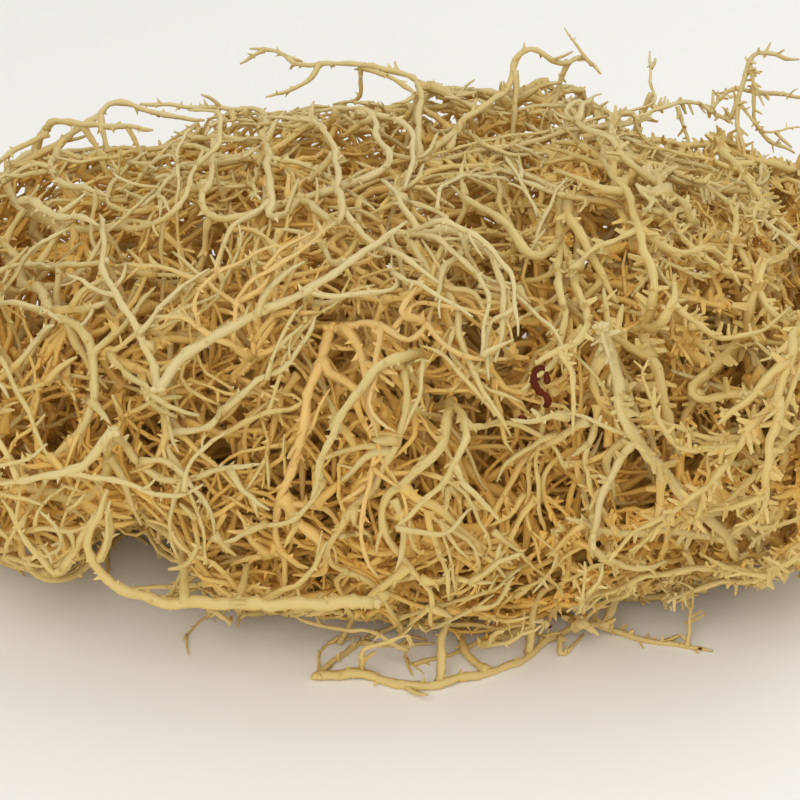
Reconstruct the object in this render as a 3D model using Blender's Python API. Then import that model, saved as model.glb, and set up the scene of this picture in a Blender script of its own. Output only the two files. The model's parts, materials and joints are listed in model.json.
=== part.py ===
"""A tangled clump of dried gracilaria seaweed, at rest on a flat surface.

Each frond is one solid: its stems, their forks and branches and its spines, joined where they grow from one another.
The fronds are separate solids that lie over, under and beside each other and never overlap. Growth is worked out in
millimetres in a frame with +Z up, and the finished fronds are set in metres with the middle of the clump's foot at
the origin. The picture's own view of the clump is straight on from the front, looking down.
"""

import math
import random

import bmesh
import bpy
import numpy as np
from mathutils import Vector

MM = 0.001
SEED = 20

# The dome that the clump fills: broad, flat on top, and narrower at its foot than halfway up, in millimetres.
DOME_HALF_WIDTH = 97.0
DOME_HALF_DEPTH = 64.0
DOME_MIDDLE_HEIGHT = 27.0
DOME_RISE = 55.0
DOME_DROP = 32.0
DOME_SQUARENESS = 2.5
DOME_LUMP = 0.05
DOME_LUMP_LENGTH = 13.0

# The view that the routes below are read in: pixels of a square picture, and where the picture was taken from.
PICTURE_MIDDLE = 400
MM_PER_PIXEL = 0.2
VIEW_DISTANCE = 460.0
VIEW_ELEVATION = math.radians(34.0)
VIEW_AIM = (1.0, -1.0, 25.5)

# Stems and branches, in millimetres: radius at the base and at the tip.
STEM_WIDTHS = {
    "stout": (1.5, 0.8),
    "thick": (1.3, 0.65),
    "even": (1.0, 0.55),
    "fine": (0.72, 0.42),
    "hair": (0.45, 0.32),
}
STEM_SIDES = {"stout": 5, "thick": 5, "even": 4, "fine": 4, "hair": 3}
TIP_RADIUS = 0.5
STEM_STEP = 9.5
BRANCH_STEP = 8.5
BRANCH_LENGTH = (10.0, 36.0, 17.0)
BRANCH_EVERY = (6.5, 12.0)
BRANCH_ANGLE = (32.0, 68.0)
BRANCH_OUT_OF_PLANE = 60.0
BRANCH_DEPTH = (0.68, 1.04)
DOME_STRAY = 0.05
BRANCH_WILDNESS = 0.32
BRANCH_SHARE = (0.7, 0.95)
BRANCH_SIDES = 3
SPINE_LENGTH = (1.6, 2.8)
SPINE_RADIUS = 0.5
FOOT_SIZE = 1.9

# Between fronds there is a clear gap. On the surface a strand is pressed flat: its middle is as high above it as
# this share of its radius, by the number of its sides. What comes within reach of the surface sinks onto it.
GAP = 0.45
LEAST_GAP = 0.22
PRESSED = {3: 0.42, 4: 0.6, 5: 0.7}
SINK_REACH = 2.5
SETTLE_ROUNDS = 140
FREE_JOINTS = 3
LEAST_BEND = math.radians(9)

# Linear colours of the dried fronds.
COLOURS = {
    "most": (0.67, 0.54, 0.22),
    "plume": (0.79, 0.74, 0.45),
    "fringe": (0.76, 0.66, 0.33),
    "amber": (0.60, 0.38, 0.09),
}

SHOWN_DEPTH = (0.86, 1.02)

# Fronds whose stems show in the picture. Each has a root, deep in the dome or on it (depth 1), and its stems as
# picture points, each from where it leaves the root, or another stem of the frond ("fork"), to its tip.
FRONDS = {
    "fork": {
        "root": (158, 390), "depth": 1.03, "branches": 20,
        "stems": [
            ("thick", "root", [(163, 372), (178, 360), (200, 345), (235, 325), (272, 309), (307, 288), (335, 272),
                               (362, 255), (385, 242), (408, 222)]),
            ("even", "root", [(153, 360), (140, 336), (125, 310), (112, 290), (103, 262), (104, 238), (99, 214)]),
            ("fine", "fork", [(307, 288), (330, 296), (352, 297), (372, 291), (392, 289), (398, 273), (394, 258),
                              (388, 250)]),
            ("fine", "fork", [(140, 336), (152, 322), (160, 308), (172, 300), (186, 292), (196, 282), (208, 268)]),
            ("fine", "fork", [(272, 309), (300, 306), (325, 302), (348, 298), (375, 285)]),
        ],
    },
    "sweep": {
        "root": (-20, 225), "depth": 0.75, "branches": 22,
        "stems": [
            ("stout", "root", [(3, 256), (20, 276), (40, 294), (62, 318), (83, 338), (93, 356), (98, 381), (96, 402),
                               (86, 422), (69, 440), (50, 462)]),
            ("even", "root", [(0, 302), (22, 300), (38, 313), (58, 322)]),
            ("even", "fork", [(98, 381), (104, 404), (110, 422)]),
            ("even", "root", [(-10, 340), (8, 366), (16, 392), (26, 416), (42, 440), (52, 462)]),
            ("thick", "root", [(20, 262), (48, 268), (76, 264), (98, 270), (103, 262)]),
        ],
    },
    "fringe": {
        "root": (112, 432), "depth": 1.02, "branches": 20,
        "stems": [
            ("thick", "root", [(100, 448), (84, 464), (66, 470), (48, 476), (22, 482), (-6, 482)]),
            ("even", "root", [(128, 452), (140, 468), (158, 478), (182, 483), (205, 474), (230, 467), (262, 466)]),
            ("thick", "root", [(112, 450), (108, 470), (98, 488), (84, 500), (50, 494), (20, 474), (-2, 446),
                               (-30, 420)]),
            ("fine", "fork", [(98, 488), (122, 482), (150, 490), (180, 499), (206, 484)]),
            ("even", "fork", [(182, 483), (162, 462), (158, 446), (168, 433), (190, 432), (210, 428), (226, 412),
                              (232, 395)]),
            ("fine", "fork", [(84, 500), (86, 515), (87, 528)]),
        ],
    },
    "arch": {
        "root": (373, 602), "depth": 1.0, "branches": 16,
        "stems": [
            ("stout", "root", [(334, 605), (291, 600), (262, 604), (231, 602), (182, 604), (141, 598), (117, 587),
                               (96, 568), (89, 540), (92, 512), (108, 492)]),
            ("fine", "fork", [(96, 568), (106, 545), (106, 520), (112, 500)]),
            ("even", "fork", [(89, 540), (66, 562), (46, 580), (38, 565), (34, 545), (20, 520), (2, 500)]),
            ("fine", "fork", [(182, 604), (190, 590), (202, 582)]),
            ("hair", "fork", [(231, 602), (212, 618), (190, 636), (183, 645)]),
        ],
    },
    "spray": {
        "root": (318, 676), "depth": 1.0, "branches": 18,
        "stems": [
            ("thick", "root", [(348, 672), (375, 678), (406, 684), (437, 686), (468, 681), (494, 671), (515, 662),
                               (534, 653), (552, 640), (568, 630), (582, 624)]),
            ("even", "fork", [(582, 624), (599, 628), (620, 635), (640, 642), (668, 644), (694, 645), (713, 653)]),
            ("fine", "root", [(334, 664), (348, 650), (372, 638), (399, 630), (423, 627), (451, 621), (475, 610),
                              (492, 596)]),
            ("fine", "root", [(355, 668), (362, 652), (386, 643), (410, 636)]),
            ("hair", "root", [(313, 661), (325, 649), (345, 645), (362, 640)]),
            ("hair", "fork", [(399, 630), (408, 655), (422, 675)]),
            ("even", "fork", [(568, 630), (563, 612), (558, 602)]),
            ("fine", "fork", [(534, 653), (548, 660), (566, 654), (580, 650), (582, 636)]),
        ],
    },
    "curtain": {
        "root": (450, 400), "depth": 0.72, "branches": 26,
        "stems": [
            ("thick", "root", [(447, 433), (437, 450), (420, 465), (403, 482), (392, 499), (382, 516), (383, 534),
                               (396, 550), (411, 568), (423, 585), (434, 602), (430, 624)]),
            ("even", "root", [(468, 433), (455, 458), (446, 478), (430, 496), (413, 513), (396, 528)]),
            ("fine", "fork", [(413, 513), (432, 524), (446, 535), (462, 538), (470, 524), (474, 508)]),
            ("fine", "fork", [(423, 585), (412, 600), (408, 622)]),
        ],
    },
    "drape": {
        "root": (420, 350), "depth": 0.8, "branches": 26,
        "stems": [
            ("thick", "root", [(403, 356), (382, 366), (367, 380), (351, 398), (338, 422), (327, 450), (318, 476),
                               (310, 500)]),
            ("even", "root", [(406, 360), (406, 389), (403, 420), (396, 446), (382, 475), (367, 490), (353, 505),
                              (342, 526), (334, 551), (330, 568), (342, 577), (365, 583), (386, 595), (396, 616),
                              (401, 636)]),
            ("even", "fork", [(403, 420), (389, 447), (368, 458), (351, 465), (338, 480)]),
            ("fine", "root", [(420, 372), (419, 392), (412, 412), (406, 432)]),
        ],
    },
    "plume": {
        "root": (404, 236), "depth": 0.92, "branches": 26,
        "stems": [
            ("even", "root", [(420, 229), (437, 229), (458, 235), (477, 246), (492, 264), (501, 286), (504, 307),
                              (498, 338), (494, 362)]),
            ("fine", "root", [(425, 236), (446, 244), (466, 258), (480, 276), (488, 300), (486, 330), (482, 356)]),
            ("fine", "root", [(432, 222), (456, 226), (480, 238), (500, 258), (512, 284), (514, 312), (520, 336)]),
            ("even", "root", [(449, 295), (456, 320), (466, 352), (478, 380), (492, 407), (513, 438)]),
            ("fine", "fork", [(478, 380), (458, 369), (437, 358), (416, 346)]),
            ("fine", "fork", [(478, 380), (487, 356), (503, 349), (513, 338)]),
        ],
    },
    "amber": {
        "root": (330, 330), "depth": 0.85, "branches": 26, "spiny": True,
        "stems": [
            ("thick", "root", [(318, 345), (314, 372), (312, 402), (304, 430), (292, 458), (284, 486), (278, 515),
                               (276, 545), (284, 575), (284, 602)]),
            ("even", "root", [(350, 318), (372, 322), (388, 340), (404, 350), (416, 338), (430, 324), (436, 300)]),
            ("even", "fork", [(404, 350), (396, 326), (408, 304), (418, 286), (424, 272)]),
            ("fine", "fork", [(304, 430), (326, 410), (330, 388)]),
            ("even", "fork", [(278, 515), (262, 530), (248, 548), (232, 566)]),
        ],
    },
    "bow": {
        "root": (600, 327), "depth": 1.05, "branches": 20,
        "stems": [
            ("thick", "root", [(606, 352), (616, 372), (623, 394), (626, 415), (634, 437), (651, 458), (662, 472),
                               (678, 489), (695, 504), (711, 520), (723, 540), (737, 558), (752, 583)]),
            ("thick", "fork", [(711, 520), (728, 519), (742, 530), (757, 540), (769, 568)]),
            ("fine", "root", [(589, 352), (583, 366), (598, 377), (614, 380)]),
            ("even", "fork", [(711, 520), (694, 525), (661, 532), (637, 536), (613, 533), (590, 530), (568, 517)]),
            ("even", "fork", [(634, 437), (621, 461), (609, 482), (599, 504), (592, 526), (590, 543), (604, 558),
                              (626, 567), (651, 567), (668, 560)]),
            ("hair", "root", [(590, 330), (588, 318)]),
            ("fine", "fork", [(626, 415), (606, 414), (586, 411), (556, 412)]),
        ],
    },
    "thorn": {
        "root": (640, 330), "depth": 0.8, "branches": 24, "spiny": True,
        "stems": [
            ("stout", "root", [(655, 300), (647, 262), (640, 232), (633, 207), (620, 186), (606, 165), (600, 140)]),
            ("thick", "fork", [(647, 262), (664, 248), (682, 253), (716, 252), (732, 266), (740, 284)]),
            ("stout", "root", [(648, 350), (655, 372), (661, 402), (672, 428), (678, 458)]),
            ("thick", "root", [(664, 318), (678, 300), (676, 276)]),
        ],
    },
    "rim": {
        "root": (745, 340), "depth": 0.8, "branches": 26, "spiny": True,
        "stems": [
            ("thick", "root", [(685, 394), (711, 398), (745, 395), (775, 389), (792, 372), (798, 346)]),
            ("even", "root", [(799, 428), (780, 440), (761, 454), (740, 464), (719, 471), (702, 464)]),
            ("thick", "root", [(754, 292), (757, 274), (776, 258), (798, 244), (822, 236)]),
            ("even", "fork", [(754, 292), (768, 308), (784, 318), (806, 310), (830, 300)]),
            ("even", "fork", [(792, 372), (783, 410), (779, 450), (778, 490), (762, 502), (742, 500), (722, 490)]),
        ],
    },
    "burr": {
        "root": (560, 240), "depth": 0.8, "branches": 24, "spiny": True,
        "stems": [
            ("stout", "root", [(564, 190), (568, 212), (580, 236), (592, 262), (612, 276), (618, 300)]),
            ("thick", "root", [(540, 262), (524, 240), (500, 222), (478, 204), (452, 188)]),
            ("even", "root", [(560, 290), (566, 318), (560, 350), (548, 372), (520, 392)]),
            ("thick", "root", [(590, 330), (560, 345), (536, 362)]),
        ],
    },
    "crest": {
        "root": (300, 200), "depth": 0.85, "branches": 30,
        "stems": [
            ("even", "root", [(384, 168), (379, 138), (368, 112), (340, 108), (300, 112)]),
            ("even", "fork", [(368, 112), (396, 112), (411, 134), (413, 160), (403, 188)]),
            ("even", "root", [(341, 220), (339, 189), (334, 155), (317, 121), (268, 118)]),
            ("even", "root", [(268, 230), (272, 200), (268, 170), (266, 140), (262, 112), (244, 102), (224, 110),
                              (207, 107), (172, 103), (152, 95), (140, 104)]),
            ("even", "root", [(200, 222), (206, 195), (212, 168), (214, 150), (216, 134)]),
        ],
    },
    "brow": {
        "root": (60, 230), "depth": 0.85, "branches": 28,
        "stems": [
            ("thick", "root", [(0, 186), (28, 160), (65, 134), (88, 122), (104, 100), (128, 104), (152, 112),
                               (180, 122), (206, 120)]),
            ("even", "fork", [(28, 160), (56, 176), (84, 190), (112, 196)]),
            ("even", "root", [(165, 222), (176, 200), (190, 180), (204, 150)]),
            ("thick", "root", [(20, 196), (46, 212), (78, 218), (96, 226)]),
        ],
    },
    "horns": {
        "root": (420, 160), "depth": 0.85, "branches": 30,
        "stems": [
            ("even", "root", [(417, 82), (399, 67), (375, 68), (348, 63), (317, 66), (299, 63), (282, 58),
                              (265, 41), (250, 48)]),
            ("even", "root", [(515, 78), (527, 44), (541, 64), (564, 60), (597, 58), (601, 76)]),
            ("hair", "fork", [(597, 58), (578, 50), (565, 29)]),
            ("hair", "root", [(640, 107), (649, 86), (651, 50)]),
            ("even", "root", [(640, 119), (661, 107), (685, 104), (709, 101), (728, 121), (738, 96), (746, 69),
                              (742, 48), (771, 56), (800, 61)]),
            ("hair", "fork", [(728, 121), (747, 118), (762, 131), (782, 133), (802, 128)]),
            ("fine", "fork", [(399, 67), (414, 88), (404, 101), (393, 106)]),
        ],
    },
}

# Fronds that the picture doesn't show: root as (across, back, up) in millimetres, the way its stems set off, and how
# deep in the dome each runs where that isn't the usual.
FAR_FRONDS = {
    "back_left": {"root": (-45.0, 24.0, 46.0), "headings": [(-0.4, 1, -0.5), (0.9, 0.6, 0.1), (-0.2, -1, -0.2)]},
    "back_right": {"root": (42.0, 22.0, 46.0), "headings": [(0.5, 1, -0.5), (-0.8, 0.8, 0.2), (0.5, -1, -0.5)]},
    "back_low": {"root": (4.0, 36.0, 14.0), "headings": [(-1, 0.7, -0.4), (1, 0.7, -0.4), (0.2, 0.2, 1)]},
    "side_left": {"root": (-60.0, 8.0, 14.0), "headings": [(-0.4, 1, -0.6), (-0.8, -1, 0.2), (0.8, 0.6, 0.2)]},
    "side_right": {"root": (62.0, 6.0, 14.0), "headings": [(0.4, 1, -0.6), (0.8, -1, 0.3), (-0.8, 0.7, 0.2)]},
    "heart": {"root": (0.0, -2.0, 26.0), "headings": [(-1, -0.4, 0.3), (1, -0.3, 0.4), (0.1, 1, 0.2)]},
    "back_middle": {"root": (2.0, 34.0, 54.0), "headings": [(-1, 0.5, -0.6), (1, 0.6, -0.5), (-0.1, 1, -1)],
                    "depths": (0.95, 0.93, 0.9)},
    "flank_left": {"root": (-70.0, 18.0, 34.0), "headings": [(-0.3, 1, 0.5), (-0.4, -1, 0.3), (0.4, 0.8, -1)],
                   "depths": (0.95, 0.93, 0.9)},
    "flank_right": {"root": (76.0, 14.0, 34.0), "headings": [(0.2, 1, 0.4), (0.4, -1, 0.4), (-0.3, 0.8, -1)],
                    "depths": (0.95, 0.93, 0.9)},
}
FAR_STEM_LENGTH = (75.0, 100.0)
FAR_STEM_STEP = 12.0
FAR_BRANCH_STEP = 10.0
FAR_DEPTHS = (0.97, 0.9, 0.72)
FAR_WILDNESS = 0.24
FAR_BRANCHES = 18


def dome_depth(point):
    """1 on the dome's lumpy surface, less inside it and more outside."""
    x, y, z = point
    rise = DOME_RISE if z > DOME_MIDDLE_HEIGHT else DOME_DROP
    whole = (
        (abs(x) / DOME_HALF_WIDTH) ** DOME_SQUARENESS
        + (abs(y) / DOME_HALF_DEPTH) ** DOME_SQUARENESS
        + (abs(z - DOME_MIDDLE_HEIGHT) / rise) ** DOME_SQUARENESS
    ) ** (1 / DOME_SQUARENESS)
    lump = math.sin(x / DOME_LUMP_LENGTH + 1.0) * math.sin(y / DOME_LUMP_LENGTH + 2.0)
    return whole * (1 + DOME_LUMP * lump)


def dome_normal(point):
    """The way out of the dome at a point."""
    reach = 0.5
    here = dome_depth(point)
    steps = (Vector((reach, 0, 0)), Vector((0, reach, 0)), Vector((0, 0, reach)))
    slope = Vector([dome_depth(point + step) - here for step in steps])
    return slope.normalized() if slope.length > 1e-9 else Vector((0, 0, 1))


def view_ray(pixel):
    """The eye, and the direction in which it sees a picture point."""
    across = Vector((1, 0, 0))
    ahead = Vector((0, math.cos(VIEW_ELEVATION), -math.sin(VIEW_ELEVATION)))
    up = Vector((0, math.sin(VIEW_ELEVATION), math.cos(VIEW_ELEVATION)))
    eye = Vector(VIEW_AIM) - ahead * VIEW_DISTANCE
    right = (pixel[0] - PICTURE_MIDDLE) * MM_PER_PIXEL
    above = (PICTURE_MIDDLE - pixel[1]) * MM_PER_PIXEL
    return eye, (ahead * VIEW_DISTANCE + across * right + up * above).normalized()


def meet(pixel, depth, height):
    """Where the sight line of a picture point first meets the dome at that depth, or the surface in front of it."""
    eye, way = view_ray(pixel)
    near, nearest = VIEW_DISTANCE - 1.6 * DOME_HALF_DEPTH, None
    step = 1.0
    for i in range(round(3.0 * DOME_HALF_DEPTH / step)):
        point = eye + way * (near + i * step)
        level = dome_depth(point)
        if level <= depth or point.z <= height:
            return Vector((point.x, point.y, max(point.z, height)))
        if nearest is None or level < nearest[0]:
            nearest = (level, point)
        elif point.y > 0 and level > nearest[0] + 0.02:
            break
    return nearest[1]


def smooth_path(points, step):
    """Points evenly spaced along a smooth curve through the given ones."""
    ends = [points[0] * 2 - points[1], *points, points[-1] * 2 - points[-2]]
    fine = []
    for a, b, c, d in zip(ends, ends[1:], ends[2:], ends[3:]):
        for i in range(12):
            t = i / 12
            fine.append(0.5 * ((2 * b) + (c - a) * t + (2 * a - 5 * b + 4 * c - d) * t * t
                               + (3 * b - a - 3 * c + d) * t ** 3))
    fine.append(points[-1])
    along = [0.0]
    for a, b in zip(fine, fine[1:]):
        along.append(along[-1] + (b - a).length)
    count = max(1, round(along[-1] / step))
    wanted = np.linspace(0, along[-1], count + 1)
    table = np.array([list(p) for p in fine])
    return [Vector([np.interp(w, along, table[:, k]) for k in range(3)]) for w in wanted]


class Tangle:
    """All strands as paths through shared points, so that a branch stays on its stem whatever moves."""

    def __init__(self):
        self.points = []
        self.firm = []
        self.strands = []

    def add_point(self, point, firm):
        self.points.append(Vector(point))
        self.firm.append(firm)
        return len(self.points) - 1

    def add_strand(self, frond, order, sides, start, points, radii, firm):
        """A strand that grows from the tangle's point number start through new points."""
        path = [start] + [self.add_point(p, firm) for p in points]
        strand = {"frond": frond, "order": order, "sides": sides, "path": path, "radii": list(radii), "holds": start}
        self.strands.append(strand)
        return strand


def taper(base, tip, count):
    """Radii of count points that thin slowly along a strand and quickly at its tip."""
    return [tip + (base - tip) * (1 - (i / (count - 1)) ** 1.6) for i in range(count)]


def wander(start, heading, length, step, depth, wildness, radius, dice):
    """New points of a strand that sets off from start and winds along the dome at about that depth."""
    point, way, bend = Vector(start), Vector(heading).normalized(), 0.0
    found = []
    for _ in range(max(1, round(length / step))):
        out = dome_normal(point)
        side = out.cross(way).normalized()
        bend = 0.75 * bend + dice.gauss(0, wildness)
        lift = way.dot(out)
        wanted = max(-0.6, min(0.6, (depth - dome_depth(point)) * 3.0))
        way = (way - out * lift + side * bend).normalized() + out * (0.5 * lift + 0.5 * wanted)
        way.normalize()
        point = point + way * step
        beyond = dome_depth(point) - depth - DOME_STRAY
        if beyond > 0:
            point = point - dome_normal(point) * (beyond * DOME_HALF_DEPTH)
        lowest = radius * PRESSED[BRANCH_SIDES]
        if point.z < lowest:
            point.z = lowest
            way.z = max(way.z, 0.0)
        found.append(point.copy())
    return found


def branch_off(tangle, strand, count, step, dice):
    """Side branches along a strand, now to one side and now to the other, with a bend at each step."""
    path, radii = strand["path"], strand["radii"]
    side_sign, due, along, grown = dice.choice((-1, 1)), dice.uniform(*BRANCH_EVERY), 0.0, []
    for i in range(1, len(path) - 1):
        here = tangle.points[path[i]]
        way = (tangle.points[path[i + 1]] - tangle.points[path[i - 1]]).normalized()
        along += (here - tangle.points[path[i - 1]]).length
        if along < due or len(grown) >= count:
            continue
        due = along + dice.uniform(*BRANCH_EVERY)
        side_sign = -side_sign if dice.random() < 0.8 else side_sign
        out = dome_normal(here)
        side = out.cross(way).normalized() * side_sign
        angle = math.radians(dice.uniform(*BRANCH_ANGLE))
        lean = math.radians(dice.uniform(-BRANCH_OUT_OF_PLANE, BRANCH_OUT_OF_PLANE))
        heading = way * math.cos(angle) + (side * math.cos(lean) + out * math.sin(lean)) * math.sin(angle)
        radius = max(TIP_RADIUS + 0.1, radii[i] * dice.uniform(*BRANCH_SHARE))
        length = dice.triangular(*BRANCH_LENGTH)
        depth = dome_depth(here) * dice.uniform(*BRANCH_DEPTH)
        points = wander(here, heading, length, step, depth, BRANCH_WILDNESS, radius, dice)
        grown.append(tangle.add_strand(
            strand["frond"], strand["order"] + 1, BRANCH_SIDES, path[i], points,
            taper(radius, TIP_RADIUS, len(points) + 1), 0.02))
    return grown


def part_forks(tangle):
    """Moves each fork a little up its stem, so that the branch leaves the stem between two of its bends."""
    after = {}
    for strand in tangle.strands:
        after.update({a: b for a, b in zip(strand["path"][1:], strand["path"][2:])})
    for strand in tangle.strands:
        start = strand["path"][0]
        if start in after:
            strand["holds"] = after[start]
            place = tangle.points[start].lerp(tangle.points[after[start]], 0.45)
            strand["path"][0] = tangle.add_point(place, 0.0)


def nearest_point(tangle, frond, place):
    """The number of the frond's own point that lies nearest to a place."""
    own = {i for strand in tangle.strands if strand["frond"] == frond for i in strand["path"][1:]}
    return min(own, key=lambda i: (tangle.points[i] - place).length)


def grow_shown_frond(tangle, name, plan, dice):
    """A frond laid along its picture routes, with branches on all its stems."""
    root_place = meet(plan["root"], plan["depth"], STEM_WIDTHS["thick"][0] * PRESSED[5])
    root = tangle.add_point(root_place, 0.1)
    stems = []
    for width, begins, pixels in plan["stems"]:
        base, tip = STEM_WIDTHS[width]
        depth = dice.uniform(*SHOWN_DEPTH)
        route = [meet(pixel, depth, base * PRESSED[STEM_SIDES[width]]) for pixel in pixels]
        if begins == "fork":
            start = nearest_point(tangle, name, route[0])
            route[0] = tangle.points[start]
        else:
            start = root
            route.insert(0, root_place)
        points = smooth_path(route, STEM_STEP)[1:]
        stems.append(tangle.add_strand(name, 0 if begins == "root" else 1, STEM_SIDES[width], start, points,
                                       taper(base, tip, len(points) + 1), 0.1))
    share_branches(tangle, stems, plan["branches"], BRANCH_STEP, dice)
    return root


def share_branches(tangle, stems, total, step, dice):
    """Grows the frond's branches, shared over its stems by length, and a few branches on those."""
    joints = sum(len(stem["path"]) for stem in stems)
    for stem in stems:
        share = math.ceil(total * len(stem["path"]) / joints)
        branch_off(tangle, stem, share, step, dice)


def grow_far_frond(tangle, name, plan, dice):
    """A frond of the back or the inside, whose stems wander."""
    root = tangle.add_point(plan["root"], 0.1)
    base, tip = STEM_WIDTHS["thick"]
    stems = []
    for heading, depth in zip(plan["headings"], plan.get("depths", FAR_DEPTHS)):
        points = wander(plan["root"], heading, dice.uniform(*FAR_STEM_LENGTH), FAR_STEM_STEP, depth,
                        FAR_WILDNESS, base, dice)
        stems.append(tangle.add_strand(name, 0, STEM_SIDES["thick"], root, points,
                                       taper(base, tip, len(points) + 1), 0.02))
    share_branches(tangle, stems, FAR_BRANCHES, FAR_BRANCH_STEP, dice)
    return root


class Segments:
    """The strands' straight pieces as arrays: end points, radii, strand, place, frond and pressed height of each."""

    def __init__(self, strands):
        rows = []
        for number, strand in enumerate(strands):
            path, radii = strand["path"], strand["radii"]
            for place, (a, b) in enumerate(zip(path, path[1:])):
                rows.append((a, b, radii[place], radii[place + 1], number, place, strand["frond_number"],
                             PRESSED.get(strand["sides"], 1)))
        table = np.array(rows, float)
        self.a, self.b = table[:, 0].astype(int), table[:, 1].astype(int)
        self.ra, self.rb = table[:, 2], table[:, 3]
        self.strand, self.place, self.frond = (table[:, k].astype(int) for k in (4, 5, 6))
        self.pressed = table[:, 7]


def close_pairs(points, seg, joints, reach):
    """Pairs of pieces that may come within reach of each other, but for neighbours on the same frond."""
    middle = (points[seg.a] + points[seg.b]) / 2
    half = np.linalg.norm(points[seg.a] - points[seg.b], axis=1) / 2 + np.maximum(seg.ra, seg.rb)
    found_i, found_j = [], []
    order = np.argsort(middle[:, 0], kind="stable")
    xs = middle[order, 0]
    widest = 2 * half.max() + reach
    ends = np.searchsorted(xs, xs + widest, side="right")
    for i in range(len(order)):
        one, others = order[i], order[i + 1:ends[i]]
        gap = np.linalg.norm(middle[others] - middle[one], axis=1)
        near = others[gap < half[others] + half[one] + reach]
        found_i.append(np.full(len(near), one))
        found_j.append(near)
    i, j = np.concatenate(found_i), np.concatenate(found_j)
    kept = joints[seg.b[i], seg.b[j]] > FREE_JOINTS
    return i[kept], j[kept]


def joints_between(tangle):
    """How many steps along a frond lead from each point to each other, and a great many to other fronds."""
    count = len(tangle.points)
    steps = np.full((count, count), count, int)
    np.fill_diagonal(steps, 0)
    met = []
    for strand in tangle.strands:
        path = strand["path"]
        if path[0] not in met:
            steps[path[0], met] = steps[strand["holds"], met] + 1
            steps[met, path[0]] = steps[path[0], met]
            met.append(path[0])
        for before, new in zip(path, path[1:]):
            steps[new, met] = steps[before, met] + 1
            steps[met, new] = steps[new, met]
            met.append(new)
    return steps


def nearest_on_pieces(p1, q1, p2, q2):
    """For each pair of pieces, how far along each the two come nearest, and the way between them there."""
    d1, d2, r = q1 - p1, q2 - p2, p1 - p2
    a, e = (d1 * d1).sum(1) + 1e-9, (d2 * d2).sum(1) + 1e-9
    b, c, f = (d1 * d2).sum(1), (d1 * r).sum(1), (d2 * r).sum(1)
    flat = np.maximum(a * e - b * b, 1e-9)
    s = np.clip((b * f - c * e) / flat, 0, 1)
    t = np.clip((b * s + f) / e, 0, 1)
    s = np.clip((b * t - c) / a, 0, 1)
    between = (p1 + d1 * s[:, None]) - (p2 + d2 * t[:, None])
    return s, t, between


def settle(tangle):
    """Moves the strands apart until fronds clear each other, while each keeps near its place and its length."""
    points = np.array([list(p) for p in tangle.points])
    rest = points.copy()
    seg = Segments(tangle.strands)
    firm = np.array(tangle.firm)[:, None]
    length = np.linalg.norm(points[seg.a] - points[seg.b], axis=1)
    joints = joints_between(tangle)
    lowest = np.zeros(len(points))
    np.maximum.at(lowest, seg.a, seg.ra * seg.pressed)
    np.maximum.at(lowest, seg.b, seg.rb * seg.pressed)
    ahead = np.array([0, math.cos(VIEW_ELEVATION), -math.sin(VIEW_ELEVATION)])
    i = j = None
    for turn in range(SETTLE_ROUNDS):
        if turn % 6 == 0:
            i, j = close_pairs(points, seg, joints, 2.0)
        s, t, between = nearest_on_pieces(points[seg.a[i]], points[seg.b[i]], points[seg.a[j]], points[seg.b[j]])
        apart = np.linalg.norm(between, axis=1)
        wanted = (seg.ra[i] * (1 - s) + seg.rb[i] * s) + (seg.ra[j] * (1 - t) + seg.rb[j] * t) + GAP
        short = np.maximum(wanted - apart, 0)
        pushed = short > 0
        way = between / np.maximum(apart, 1e-6)[:, None]
        way[apart < 1e-3] = ahead
        push = way * (0.5 * short)[:, None]
        moved, touched = np.zeros_like(points), np.zeros(len(points))
        ends = ((seg.a[i], 1 - s, 1), (seg.b[i], s, 1), (seg.a[j], 1 - t, -1), (seg.b[j], t, -1))
        for number, weight, sign in ends:
            np.add.at(moved, number[pushed], (push * (sign * weight)[:, None])[pushed])
            np.add.at(touched, number[pushed], weight[pushed])
        points += 1.3 * moved / np.maximum(touched, 1)[:, None]
        if turn < SETTLE_ROUNDS - 25:
            back = rest - points
            along = (back @ ahead)[:, None] * ahead
            points += firm * (back - along) + 0.15 * firm * along
        line = points[seg.b] - points[seg.a]
        now = np.maximum(np.linalg.norm(line, axis=1), 1e-6)
        fix = line * (0.15 * (now - length) / now)[:, None]
        moved, touched = np.zeros_like(points), np.ones(len(points))
        np.add.at(moved, seg.a, fix)
        np.add.at(moved, seg.b, -fix)
        np.add.at(touched, seg.a, 0.5)
        np.add.at(touched, seg.b, 0.5)
        points += moved / touched[:, None]
        above = points[:, 2] - lowest
        points[:, 2] = lowest + np.where(above < SINK_REACH, np.maximum(0.85 * above - 0.02, 0), above)
        points = np.round(points, 7)
    tangle.points = [Vector(p) for p in points]


def conflicts(tangle):
    """Pairs of (strand, place), of two fronds, that still come too near each other."""
    points = np.array([list(p) for p in tangle.points])
    seg = Segments(tangle.strands)
    i, j = close_pairs(points, seg, joints_between(tangle), 1.0)
    apart = seg.frond[i] != seg.frond[j]
    i, j = i[apart], j[apart]
    s, t, between = nearest_on_pieces(points[seg.a[i]], points[seg.b[i]], points[seg.a[j]], points[seg.b[j]])
    needed = (seg.ra[i] * (1 - s) + seg.rb[i] * s) + (seg.ra[j] * (1 - t) + seg.rb[j] * t) + LEAST_GAP
    bad = np.linalg.norm(between, axis=1) < needed
    return [[(tangle.strands[seg.strand[k]], seg.place[k]) for k in pair] for pair in zip(i[bad], j[bad])]


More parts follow.
